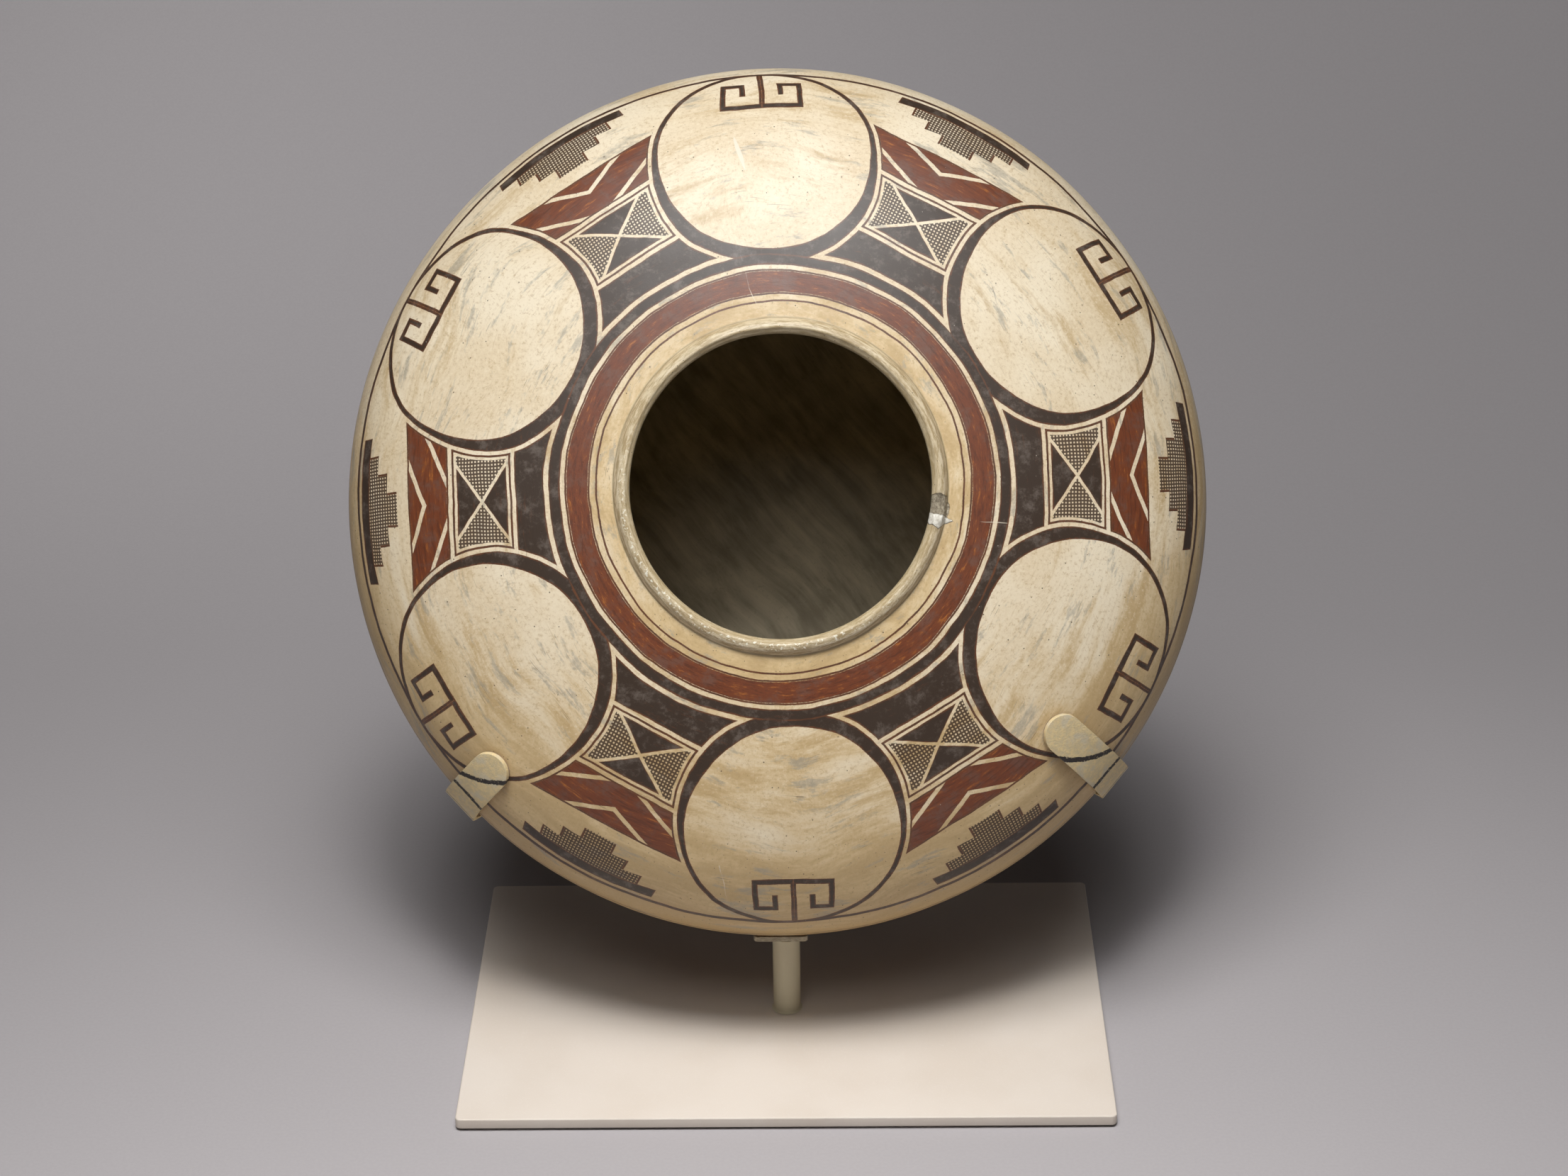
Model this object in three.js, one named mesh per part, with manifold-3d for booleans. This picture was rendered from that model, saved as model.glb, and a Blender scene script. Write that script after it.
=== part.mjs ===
// A painted pottery seed jar, tipped up towards the viewer on its painted steel display stand.
//
// The jar is one hollow piece: a low bowl, a wide shoulder that closes in almost flat, and a small
// round mouth with a raised lip. The stand is a flat plate on felt, a short post, and a cradle of
// three bent steel straps on a round hub behind the jar's foot. The middle strap comes forward under
// the jar's lowest edge as a shelf on the post. The two side straps run out behind the jar, turn round
// its edge and lie on the shoulder as clips. Tan felt pads line the straps.
//
// Millimetres, +Z up, +X to the viewer's right and +Y away from the viewer. The origin is the centre
// of the stand's underside.

import * as THREE from 'three';
import { mergeVertices } from 'three/addons/utils/BufferGeometryUtils.js';
import Module from 'manifold-3d';

// Clearance between pieces that touch.
const GAP = 0.3;

const UNDER_FELT = { thick: 0.9, inset: 2 };
const PLATE = { width: 284, depth: 194, thick: 4.8, cornerRadius: 2.5, easedEdge: 0.5 };
const POST = { radius: 6.1, y: -10.4, length: 37.9, footFlare: 0.7 };
const STRAP = { thick: 2.4, spineWidth: 24, armWidth: 17.4, startRadius: 34 };
const LINING = { thick: 1, margin: 1.2 };
const HUB = { radius: 46, thick: 3 };

// The jar in its own frame: axis along +Z towards the mouth, widest circle at height 0.
const JAR = {
  radius: 189,
  neckRadius: 71,
  neckHeight: 70.5,
  shoulderRoundness: 2.35,
  footRadius: 46,
  footDepth: 112,
  bellyRoundness: 2,
  footHollow: 1.6,
  footRim: 8,
  wall: 6,
  lipHeight: 75,
  lipOuterRadius: 68.3,
  lipInnerRadius: 63.6,
};
// Hand building left the jar taller than wide by this factor, and its mouth this far to the right.
const OVALITY = 1.0135;
const MOUTH_LEAN = 2.9;

// Where the jar sits: its axis rises at this angle, and its widest circle is centred at this x and y.
const JAR_AXIS_RISE = THREE.MathUtils.degToRad(29.25);
const JAR_X = -2.35;
const JAR_Y = 60.9;

// Clips, seen from the front: azimuth where the strap turns the jar's edge, the radius on the shoulder
// where its round end stops, and how far the slanted tab's line misses the jar's axis.
const ARMS = [
  { name: 'left_clip_arm', azimuth: -136.7, tipRadius: 162, tabMiss: 2 },
  { name: 'right_clip_arm', azimuth: -40, tipRadius: 149.5, tabMiss: -5 },
];

// A shallow loss on the lip, low on its right side.
const LIP_CHIP = { azimuth: -9.5, radius: 68.6, height: 76, along: 8, across: 4, deep: 2.7 };

const JAR_SEGMENTS = 56;
const STRAP_STEP = 5.5;
const SHELF_CORNER_RADIUS = 2;

const POTTERY = new THREE.MeshStandardMaterial({ color: 0xd9c7a2, roughness: 0.45, metalness: 0 });
const PAINTED_STEEL = new THREE.MeshStandardMaterial({ color: 0xd6cbb6, roughness: 0.6, metalness: 0 });
const FELT = new THREE.MeshStandardMaterial({ color: 0x2e2721, roughness: 0.95, metalness: 0 });
const PAD = new THREE.MeshStandardMaterial({ color: 0x9a6f42, roughness: 0.95, metalness: 0 });

const wasm = await Module();
wasm.setup();

/** A closed three.js geometry as a solid that can be joined and cut. */
function toSolid(geometry) {
  const bare = geometry.clone();
  bare.deleteAttribute('normal');
  bare.deleteAttribute('uv');
  const merged = mergeVertices(bare, 1e-4);
  return new wasm.Manifold(new wasm.Mesh({
    numProp: 3,
    vertProperties: new Float32Array(merged.attributes.position.array),
    triVerts: new Uint32Array(merged.index.array),
  }));
}

/** A solid back as a three.js geometry. */
function toGeometry(solid) {
  const mesh = solid.getMesh();
  const geometry = new THREE.BufferGeometry();
  geometry.setAttribute('position', new THREE.BufferAttribute(mesh.vertProperties, 3));
  geometry.setIndex(new THREE.BufferAttribute(mesh.triVerts, 1));
  geometry.computeVertexNormals();
  return geometry;
}

/** A named mesh in a group. */
function addMesh(group, name, geometry, material) {
  const mesh = new THREE.Mesh(geometry, material);
  mesh.name = name;
  group.add(mesh);
  return mesh;
}

/** A quarter of a rounded outline: from the widest radius to endRadius, where it is `height` away. */
function quarterOutline(radius, endRadius, height, roundness, count) {
  const apex = height / (1 - (endRadius / radius) ** roundness) ** (1 / roundness);
  const endAngle = Math.acos((endRadius / radius) ** (roundness / 2));
  const points = [];
  for (let i = 0; i <= count; i += 1) {
    const angle = (endAngle * i) / count;
    points.push(new THREE.Vector2(
      radius * Math.cos(angle) ** (2 / roundness),
      apex * Math.sin(angle) ** (2 / roundness),
    ));
  }
  return points;
}

/** The jar's outer body as (radius, height) points, from the foot's edge to the neck. */
function bodyOutline(count) {
  const belly = quarterOutline(JAR.radius, JAR.footRadius, JAR.footDepth, JAR.bellyRoundness, count);
  const shoulder = quarterOutline(JAR.radius, JAR.neckRadius, JAR.neckHeight, JAR.shoulderRoundness, count);
  const lower = belly.slice(1).reverse().map((p) => new THREE.Vector2(p.x, -p.y));
  return [...lower, ...shoulder];
}

/** Points moved inwards from an outline by the wall's thickness. */
function insideOf(outline, wall) {
  return outline.map((point, i) => {
    const before = outline[Math.max(i - 1, 0)];
    const after = outline[Math.min(i + 1, outline.length - 1)];
    const along = after.clone().sub(before).normalize();
    return new THREE.Vector2(point.x - along.y * wall, point.y + along.x * wall);
  });
}

/** Moves a point of the ideal round jar to where the hand-built one has it. */
function handBuilt(point) {
  const rise = Math.max(point.z, 0) / JAR.lipHeight;
  return new THREE.Vector3(point.x + MOUTH_LEAN * rise ** 2, point.y * OVALITY, point.z);
}

/** The jar's closed section, turned into a hollow solid with a chipped lip. */
function jarGeometry() {
  const outer = bodyOutline(11);
  const { lipInnerRadius, lipOuterRadius, lipHeight, neckRadius, neckHeight, footRim, footRadius } = JAR;
  const lip = new THREE.SplineCurve([
    new THREE.Vector2(neckRadius - 1.2, neckHeight + 0.3),
    new THREE.Vector2(lipOuterRadius + 0.2, lipHeight - 2.8),
    new THREE.Vector2(lipOuterRadius - 0.3, lipHeight - 1),
    new THREE.Vector2(lipOuterRadius - 1.6, lipHeight),
    new THREE.Vector2(lipInnerRadius + 1.3, lipHeight - 0.7),
    new THREE.Vector2(lipInnerRadius, lipHeight - 2.8),
    new THREE.Vector2(lipInnerRadius + 0.3, lipHeight - 5.2),
    new THREE.Vector2(lipInnerRadius + 4, neckHeight - JAR.wall + 1.3),
  ]).getPoints(8);
  const inner = insideOf(outer, JAR.wall).reverse();
  const section = [
    new THREE.Vector2(0, JAR.footHollow - JAR.footDepth),
    new THREE.Vector2(footRadius - footRim, JAR.footHollow - JAR.footDepth),
    new THREE.Vector2(footRadius - footRim * 0.5, 0.2 - JAR.footDepth),
    ...outer,
    ...lip,
    ...inner,
    new THREE.Vector2(0, inner.at(-1).y - 0.4),
  ];
  const round = new THREE.LatheGeometry(section, JAR_SEGMENTS);
  round.rotateX(Math.PI / 2);
  const positions = round.attributes.position;
  for (let i = 0; i < positions.count; i += 1) {
    const moved = handBuilt(new THREE.Vector3().fromBufferAttribute(positions, i));
    positions.setXYZ(i, moved.x, moved.y, moved.z);
  }

  const chip = new THREE.IcosahedronGeometry(1, 1);
  chip.scale(LIP_CHIP.across, LIP_CHIP.along, LIP_CHIP.deep);
  chip.translate(LIP_CHIP.radius + MOUTH_LEAN, 0, LIP_CHIP.height);
  chip.rotateZ(THREE.MathUtils.degToRad(LIP_CHIP.azimuth));
  return toGeometry(toSolid(round).subtract(toSolid(chip)));
}

// The jar's outer skin as one line from the foot's centre to the neck, with the length along it.
const skinLine = [new THREE.Vector2(0, -JAR.footDepth), ...bodyOutline(160)];
const skinLength = [0];
for (let i = 1; i < skinLine.length; i += 1) {
  skinLength.push(skinLength[i - 1] + skinLine[i].distanceTo(skinLine[i - 1]));
}
const equatorLength = skinLength[skinLine.findIndex((p) => p.y >= 0)];

/** Radius and height of the skin at a length along its line. */
function skinAt(length) {
  let i = 1;
  while (i < skinLength.length - 1 && skinLength[i] < length) {
    i += 1;
  }
  const share = (length - skinLength[i - 1]) / (skinLength[i] - skinLength[i - 1]);
  return skinLine[i - 1].clone().lerp(skinLine[i], share);
}

/** A point of the jar's skin from its length along the line and its azimuth in radians. */
function skinPoint(length, azimuth) {
  const { x: radius, y: height } = skinAt(length);
  return handBuilt(new THREE.Vector3(radius * Math.cos(azimuth), radius * Math.sin(azimuth), height));
}

/** The outward normal of the jar's skin. */
function skinNormal(length, azimuth) {
  const step = 1;
  const turn = step / Math.max(skinAt(length).x, step);
  const round = skinPoint(length, azimuth + turn).sub(skinPoint(length, azimuth - turn));
  const up = skinPoint(length + step, azimuth).sub(skinPoint(length - step, azimuth));
  return round.cross(up).normalize();
}

/** Stations of a strap's centre line: point on the skin, direction along the strap, outward normal. */
function stationsOn(route) {
  return route.map(({ length, azimuth }, i) => {
    const before = route[Math.max(i - 1, 0)];
    const after = route[Math.min(i + 1, route.length - 1)];
    const along = skinPoint(after.length, after.azimuth).sub(skinPoint(before.length, before.azimuth));
    return { point: skinPoint(length, azimuth), along: along.normalize(), normal: skinNormal(length, azimuth) };
  });
}

/** The route of a clip arm, from beside the hub, round the jar's edge and on to the shoulder. */
function armRoute({ azimuth, tipRadius, tabMiss }) {
  const route = [];
  let turned = THREE.MathUtils.degToRad(azimuth);
  let length = STRAP.startRadius;
  const beforeEdge = 20;
  while (length < equatorLength || skinAt(length).x > tipRadius) {
    route.push({ length, azimuth: turned });
    const slant = tabMiss * THREE.MathUtils.smoothstep(length, equatorLength - beforeEdge, equatorLength);
    turned += slant / skinAt(length).x ** 2;
    length += Math.sqrt(1 - (slant / skinAt(length).x) ** 2);
  }
  return stationsOn(route);
}

/** The spine's stations: from the hub to the jar's lowest point, then straight on as the shelf. */
function spineStations(down, shelfReach) {
  const below = -Math.PI / 2;
  const route = [];
  let length = STRAP.startRadius;
  let reach = -Infinity;
  while (skinPoint(length, below).dot(down) > reach) {
    reach = skinPoint(length, below).dot(down);
    route.push({ length, azimuth: below });
    length += 1;
  }
  const stations = stationsOn(route);
  const last = stations.at(-1);
  const sideways = new THREE.Vector3(1, 0, 0);
  last.normal.copy(down);
  last.along.crossVectors(down, sideways);
  if (last.along.z < 0) {
    last.along.negate();
  }
  for (let run = 1; run <= shelfReach; run += 1) {
    stations.push({ ...last, point: last.point.clone().addScaledVector(last.along, run) });
  }
  return stations;
}

/** A flat bar bent along stations, `lift` above the jar's skin. Its far end is round or square. */
function strapGeometry(stations, { width, thick, lift, trim = 0, roundEnd }) {
  const reach = stations.length - 1 - 2 * trim;
  const endRadius = roundEnd ? width / 2 : SHELF_CORNER_RADIUS;
  const straightRows = Math.round((reach - endRadius) / STRAP_STEP);
  const endRows = roundEnd ? 5 : 2;
  const rows = straightRows + endRows;
  const bar = new THREE.BoxGeometry(width, rows, thick, 1, rows, 1);
  const positions = bar.attributes.position;
  for (let i = 0; i < positions.count; i += 1) {
    const row = Math.round(positions.getY(i) + rows / 2);
    const turn = THREE.MathUtils.degToRad(82) * Math.max(0, (row - straightRows) / endRows);
    const straight = (reach - endRadius) * Math.min(1, row / straightRows);
    const across = positions.getX(i) - Math.sign(positions.getX(i)) * endRadius * (1 - Math.cos(turn));
    const height = positions.getZ(i) + thick / 2 + lift;

    const at = Math.min(straight + endRadius * Math.sin(turn) + trim, stations.length - 1);
    const low = Math.min(Math.floor(at), stations.length - 2);
    const [from, to] = [stations[low], stations[low + 1]];
    const share = at - low;
    const point = from.point.clone().lerp(to.point, share);
    const along = from.along.clone().lerp(to.along, share).normalize();
    const normal = from.normal.clone().lerp(to.normal, share).normalize();
    const side = new THREE.Vector3().crossVectors(along, normal).normalize();
    point.addScaledVector(side, across).addScaledVector(normal, height);
    positions.setXYZ(i, point.x, point.y, point.z);
  }
  bar.deleteAttribute('normal');
  bar.deleteAttribute('uv');
  const merged = mergeVertices(bar, 1e-4);
  merged.computeVertexNormals();
  return merged;
}

/** The stand's plate: rounded corners and eased edges. */
function plateGeometry({ width, depth, thick, cornerRadius, easedEdge }) {
  const x = width / 2 - easedEdge;
  const y = depth / 2 - easedEdge;
  const r = cornerRadius - easedEdge;
  const outline = new THREE.Shape();
  outline.absarc(x - r, y - r, r, 0, Math.PI / 2);
  outline.absarc(r - x, y - r, r, Math.PI / 2, Math.PI);
  outline.absarc(r - x, r - y, r, Math.PI, 1.5 * Math.PI);
  outline.absarc(x - r, r - y, r, 1.5 * Math.PI, 2 * Math.PI);
  const plate = new THREE.ExtrudeGeometry(outline, {
    depth: thick - 2 * easedEdge,
    bevelThickness: easedEdge,
    bevelSize: easedEdge,
    bevelSegments: 1,
    curveSegments: 5,
  });
  plate.translate(0, 0, easedEdge);
  return plate;
}

/** The post, with a small flare of paint and weld at its foot. */
function postGeometry() {
  const { radius, length, footFlare } = POST;
  const post = new THREE.LatheGeometry([
    new THREE.Vector2(0, 0),
    new THREE.Vector2(radius + footFlare, 0),
    new THREE.Vector2(radius + footFlare * 0.3, footFlare * 0.7),
    new THREE.Vector2(radius, footFlare * 2),
    new THREE.Vector2(radius, length),
    new THREE.Vector2(0, length),
  ], 32);
  post.rotateX(Math.PI / 2);
  return post;
}

const object = new THREE.Group();

const plateBottom = UNDER_FELT.thick + GAP;
const plateTop = plateBottom + PLATE.thick;
const shelfTop = plateTop + GAP + POST.length + GAP + STRAP.thick;
const strapLift = GAP + LINING.thick + GAP;

const underFelt = new THREE.BoxGeometry(
  PLATE.width - 2 * UNDER_FELT.inset,
  PLATE.depth - 2 * UNDER_FELT.inset,
  UNDER_FELT.thick,
);
addMesh(object, 'base_felt', underFelt, FELT).position.z = UNDER_FELT.thick / 2;
addMesh(object, 'base_plate', plateGeometry(PLATE), PAINTED_STEEL).position.z = plateBottom;
addMesh(object, 'post', postGeometry(), PAINTED_STEEL).position.set(0, POST.y, plateTop + GAP);

// In the jar's frame, `down` is the world's downward direction.
const down = new THREE.Vector3(0, -Math.cos(JAR_AXIS_RISE), -Math.sin(JAR_AXIS_RISE));
const forward = new THREE.Vector3(0, -Math.sin(JAR_AXIS_RISE), Math.cos(JAR_AXIS_RISE));
const toLowest = spineStations(down, 0).at(-1).point;
const jarZ = shelfTop + strapLift + toLowest.dot(down);
const lowestY = JAR_Y - toLowest.dot(forward);
const shelfReach = Math.round(lowestY - (POST.y - POST.radius - GAP));

const tipped = new THREE.Group();
tipped.position.set(JAR_X, JAR_Y, jarZ);
tipped.rotation.x = Math.PI / 2 - JAR_AXIS_RISE;
object.add(tipped);

addMesh(tipped, 'jar', jarGeometry(), POTTERY);

const spine = spineStations(down, shelfReach);
const spineStrap = { width: STRAP.spineWidth, thick: STRAP.thick, lift: strapLift };
addMesh(tipped, 'spine_strap', strapGeometry(spine, spineStrap), PAINTED_STEEL);
addMesh(tipped, 'spine_lining', strapGeometry(spine, {
  width: STRAP.spineWidth - 2 * LINING.margin,
  thick: LINING.thick,
  lift: GAP,
  trim: LINING.margin,
}), PAD);

for (const arm of ARMS) {
  const stations = armRoute(arm);
  addMesh(tipped, arm.name, strapGeometry(stations, {
    width: STRAP.armWidth,
    thick: STRAP.thick,
    lift: strapLift,
    roundEnd: true,
  }), PAINTED_STEEL);
  addMesh(tipped, arm.name.replace('arm', 'lining'), strapGeometry(stations, {
    width: STRAP.armWidth - 2 * LINING.margin,
    thick: LINING.thick,
    lift: GAP,
    trim: LINING.margin,
    roundEnd: true,
  }), PAD);
}

const hub = new THREE.CylinderGeometry(HUB.radius, HUB.radius, HUB.thick, 40);
hub.rotateX(Math.PI / 2);
const hubMesh = addMesh(tipped, 'hub', hub, PAINTED_STEEL);
hubMesh.position.z = -(JAR.footDepth + strapLift + STRAP.thick + GAP + HUB.thick / 2);

export default object;
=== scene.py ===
"""The looks of a painted pottery seed jar, tipped up on its painted steel display stand.

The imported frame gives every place. The pieces are modelled in millimetres, like the sizes in the
classes below, and become metres when they are finished. "Run" is a length measured over the jar's
skin, outwards from the axis of its mouth, and it serves as the radius of the flat plan on which the
painted design is laid out.
"""

import logging
import math
from bisect import bisect_left
from dataclasses import dataclass
from enum import Enum
from typing import Iterable, Sequence

import bmesh
import bpy
from mathutils import Matrix, Vector, noise


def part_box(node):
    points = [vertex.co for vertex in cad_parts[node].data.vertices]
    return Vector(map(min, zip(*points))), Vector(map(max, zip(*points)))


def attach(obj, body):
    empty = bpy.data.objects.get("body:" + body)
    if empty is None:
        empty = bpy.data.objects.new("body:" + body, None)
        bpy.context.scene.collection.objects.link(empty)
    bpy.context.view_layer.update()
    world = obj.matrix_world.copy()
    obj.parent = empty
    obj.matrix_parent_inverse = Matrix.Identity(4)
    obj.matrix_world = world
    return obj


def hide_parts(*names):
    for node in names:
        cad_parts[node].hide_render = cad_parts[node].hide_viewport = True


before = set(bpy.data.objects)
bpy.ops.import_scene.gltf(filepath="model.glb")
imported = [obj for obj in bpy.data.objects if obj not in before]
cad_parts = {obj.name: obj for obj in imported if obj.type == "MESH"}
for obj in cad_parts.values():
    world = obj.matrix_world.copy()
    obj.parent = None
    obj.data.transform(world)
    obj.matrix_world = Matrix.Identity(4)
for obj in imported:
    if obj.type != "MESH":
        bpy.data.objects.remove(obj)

log = logging.getLogger("seed_jar")

MM = 0.001
BODY = "root"
PLAN = "skin_plan"

Socket = bpy.types.NodeSocket
Pair = tuple[float, float]
Triple = tuple[float, float, float]
Colour = Triple
Tint = Socket | Colour
Station = tuple[Vector, Vector, Vector]


class Slot(Enum):
    """The record's material slots."""

    POTTERY = "painted_pottery"
    STEEL = "painted_steel"
    FELT = "felt"
    PAD = "pad_lining"


def smooth_step(low: float, high: float, value: float) -> float:
    """A soft step from 0 at low to 1 at high.

    Args:
        low: Where the step starts.
        high: Where it ends.
        value: The place on it.

    Returns:
        The height of the step, from 0 to 1.
    """
    share = min(1.0, max(0.0, (value - low) / (high - low)))
    return share * share * (3 - 2 * share)


def smooth_line(points: Sequence[Pair], steps: int) -> list[Pair]:
    """A smooth line through points, as a Catmull-Rom curve.

    Args:
        points: The points to pass through.
        steps: How many pieces each stretch is cut into.

    Returns:
        The points of the line, both ends included.
    """
    ends = [Vector(p) for p in (points[0], *points, points[-1])]
    line = []
    for before, start, stop, after in zip(ends, ends[1:], ends[2:], ends[3:]):
        for i in range(steps):
            t = i / steps
            place = start + 0.5 * t * ((stop - before) + t * (
                (2 * before - 5 * start + 4 * stop - after) + t * (3 * start - before - 3 * stop + after)
            ))
            line.append((place.x, place.y))
    line.append(tuple(points[-1]))
    return line


class Field:
    """A number that varies over a surface: an output of a finish's nodes, with arithmetic."""

    def __init__(self, sheet: "Sheet", socket: Socket) -> None:
        """Keeps the sheet and the socket."""
        self.sheet = sheet
        self.socket = socket

    def __add__(self, other: "Number") -> "Field":
        """The sum."""
        return self.sheet.math("ADD", self, other)

    __radd__ = __add__

    def __sub__(self, other: "Number") -> "Field":
        """The difference."""
        return self.sheet.math("SUBTRACT", self, other)

    def __rsub__(self, other: "Number") -> "Field":
        """The difference the other way round."""
        return self.sheet.math("SUBTRACT", other, self)

    def __mul__(self, other: "Number") -> "Field":
        """The product."""
        return self.sheet.math("MULTIPLY", self, other)

    __rmul__ = __mul__

    def __truediv__(self, other: "Number") -> "Field":
        """The quotient."""
        return self.sheet.math("DIVIDE", self, other)

    def __rtruediv__(self, other: "Number") -> "Field":
        """The quotient the other way round."""
        return self.sheet.math("DIVIDE", other, self)

    def __abs__(self) -> "Field":
        """The size without the sign."""
        return self.sheet.math("ABSOLUTE", self)

    def most(self, other: "Number") -> "Field":
        """The larger of the two."""
        return self.sheet.math("MAXIMUM", self, other)

    def least(self, other: "Number") -> "Field":
        """The smaller of the two."""
        return self.sheet.math("MINIMUM", self, other)

    def rise(self, low: float, high: float) -> "Field":
        """A soft step over this number.

        Args:
            low: Where the step is 0.
            high: Where it is 1; it may be the smaller of the two.

        Returns:
            The step's height.
        """
        node = self.sheet.add("ShaderNodeMapRange", interpolation_type="SMOOTHSTEP")
        self.sheet.wire(node.inputs["Value"], self)
        node.inputs["From Min"].default_value = low
        node.inputs["From Max"].default_value = high
        return Field(self.sheet, node.outputs["Result"])

    def between(self, low: float, high: float) -> "Field":
        """How far inside the range this is: negative outside it."""
        return (high - low) / 2 - abs(self - (low + high) / 2)


Number = Field | float


class Sheet:
    """The node tree of one finish, with short ways to add nodes to it."""

    def __init__(self, name: str) -> None:
        """Makes an empty material.

        Args:
            name: The material's name.
        """
        self.material = bpy.data.materials.new(name)
        self.material.use_nodes = True
        self.tree = self.material.node_tree
        self.tree.nodes.clear()
        self.shader = self.add("ShaderNodeBsdfPrincipled")
        output = self.add("ShaderNodeOutputMaterial")
        self.tree.links.new(self.shader.outputs["BSDF"], output.inputs["Surface"])

    def add(self, kind: str, **settings: object) -> bpy.types.Node:
        """Adds a node and sets its properties."""
        node = self.tree.nodes.new(kind)
        for key, value in settings.items():
            setattr(node, key, value)
        return node

    def wire(self, socket: Socket, value: object) -> None:
        """Links a field or a socket to an input, or sets the input to a plain value.

        Args:
            socket: The input.
            value: What it gets.
        """
        if isinstance(value, Field):
            value = value.socket
        if isinstance(value, Socket):
            self.tree.links.new(value, socket)
        elif isinstance(value, tuple) and len(value) == 3 and socket.type == "RGBA":
            socket.default_value = (*value, 1)
        else:
            socket.default_value = value

    def math(self, operation: str, *values: Number) -> Field:
        """A Math node."""
        node = self.add("ShaderNodeMath", operation=operation)
        for socket, value in zip(node.inputs, values):
            self.wire(socket, value)
        return Field(self, node.outputs[0])

    def vector(self, operation: str, *values: object) -> Socket:
        """A Vector Math node that gives a vector."""
        node = self.add("ShaderNodeVectorMath", operation=operation)
        for socket, value in zip(node.inputs, values):
            self.wire(socket, value)
        return node.outputs["Vector"]

    def scaled(self, vector: Socket, scale: Number) -> Socket:
        """A vector times a number."""
        node = self.add("ShaderNodeVectorMath", operation="SCALE")
        self.wire(node.inputs[0], vector)
        self.wire(node.inputs["Scale"], scale)
        return node.outputs["Vector"]

    def length(self, vector: Socket) -> Field:
        """A vector's length."""
        node = self.add("ShaderNodeVectorMath", operation="LENGTH")
        self.wire(node.inputs[0], vector)
        return Field(self, node.outputs["Value"])

    def dot(self, one: Socket, other: Triple) -> Field:
        """The dot product of two vectors."""
        node = self.add("ShaderNodeVectorMath", operation="DOT_PRODUCT")
        self.wire(node.inputs[0], one)
        self.wire(node.inputs[1], other)
        return Field(self, node.outputs["Value"])

    def split(self, vector: Socket) -> tuple[Field, Field, Field]:
        """A vector's three numbers."""
        node = self.add("ShaderNodeSeparateXYZ")
        self.wire(node.inputs[0], vector)
        return tuple(Field(self, socket) for socket in node.outputs)

    def join(self, x: Number, y: Number, z: Number) -> Socket:
        """Three numbers as a vector."""
        node = self.add("ShaderNodeCombineXYZ")
        for socket, value in zip(node.inputs, (x, y, z)):
            self.wire(socket, value)
        return node.outputs[0]

    def object_place(self) -> Socket:
        """The place on the object, in millimetres."""
        return self.scaled(self.add("ShaderNodeTexCoord").outputs["Object"], 1 / MM)

    def attribute(self, name: str) -> Socket:
        """A vector that the mesh holds at each point."""
        return self.add("ShaderNodeAttribute", attribute_name=name).outputs["Vector"]

    def noise(self, place: Socket, grain: float, detail: float = 2, rough: float = 0.5) -> Field:
        """Soft noise from 0 to 1.

        Args:
            place: Where it is read, in millimetres.
            grain: The size of its blots in millimetres.
            detail: How many finer layers it has.
            rough: How strong the finer layers are.

        Returns:
            The noise.
        """
        node = self._noise(place, grain, detail, rough)
        return Field(self, node.outputs[0])

    def noise_vector(self, place: Socket, grain: float, reach: float) -> Socket:
        """A vector that wanders by about `reach` millimetres each way."""
        node = self._noise(place, grain, 1, 0.5)
        centred = self.vector("SUBTRACT", node.outputs[1], (0.5, 0.5, 0.5))
        return self.scaled(centred, 2 * reach)

    def _noise(self, place: Socket, grain: float, detail: float, rough: float) -> bpy.types.Node:
        """The noise node behind the two methods above.

        Args:
            place: Where it is read.
            grain: The size of its blots.
            detail: How many finer layers it has.
            rough: How strong the finer layers are.

        Returns:
            The node.
        """
        node = self.add("ShaderNodeTexNoise")
        self.wire(node.inputs["Vector"], place)
        node.inputs["Scale"].default_value = 1 / grain
        node.inputs["Detail"].default_value = detail
        node.inputs["Roughness"].default_value = rough
        return node

    def specks(self, place: Socket, spacing: float, radius: float, share: float) -> Field:
        """Small round specks strewn over a surface.

        Args:
            place: Where they are read, in millimetres; only the first two numbers count.
            spacing: The distance between places where one may be.
            radius: Their largest radius.
            share: The share of those places that holds one.

        Returns:
            1 in a speck and 0 outside.
        """
        cells = self.add("ShaderNodeTexVoronoi", voronoi_dimensions="2D")
        self.wire(cells.inputs["Vector"], place)
        cells.inputs["Scale"].default_value = 1 / spacing
        chance = Field(self, cells.outputs["Color"])
        size = chance.rise(1 - share, 1 - share * 0.4) * (radius / spacing)
        distance = Field(self, cells.outputs["Distance"])
        return (size - distance).rise(0, 0.3 * radius / spacing)

    def mix(self, share: Number, one: Tint, other: Tint) -> Socket:
        """Mixes two colours.

        Args:
            share: How much of the other colour there is.
            one: The colour where the share is 0.
            other: The colour where it is 1.

        Returns:
            The mixed colour.
        """
        node = self.add("ShaderNodeMix", data_type="RGBA")
        self.wire(node.inputs["Factor"], share)
        colours = [socket for socket in node.inputs if socket.type == "RGBA"]
        self.wire(colours[0], one)
        self.wire(colours[1], other)
        return next(socket for socket in node.outputs if socket.type == "RGBA")

    def bump(self, height: Field) -> None:
        """Raises the surface by a height in millimetres, with bump."""
        node = self.add("ShaderNodeBump")
        node.inputs["Strength"].default_value = 1
        node.inputs["Distance"].default_value = MM
        self.wire(node.inputs["Height"], height)
        self.wire(self.shader.inputs["Normal"], node.outputs["Normal"])

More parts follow.
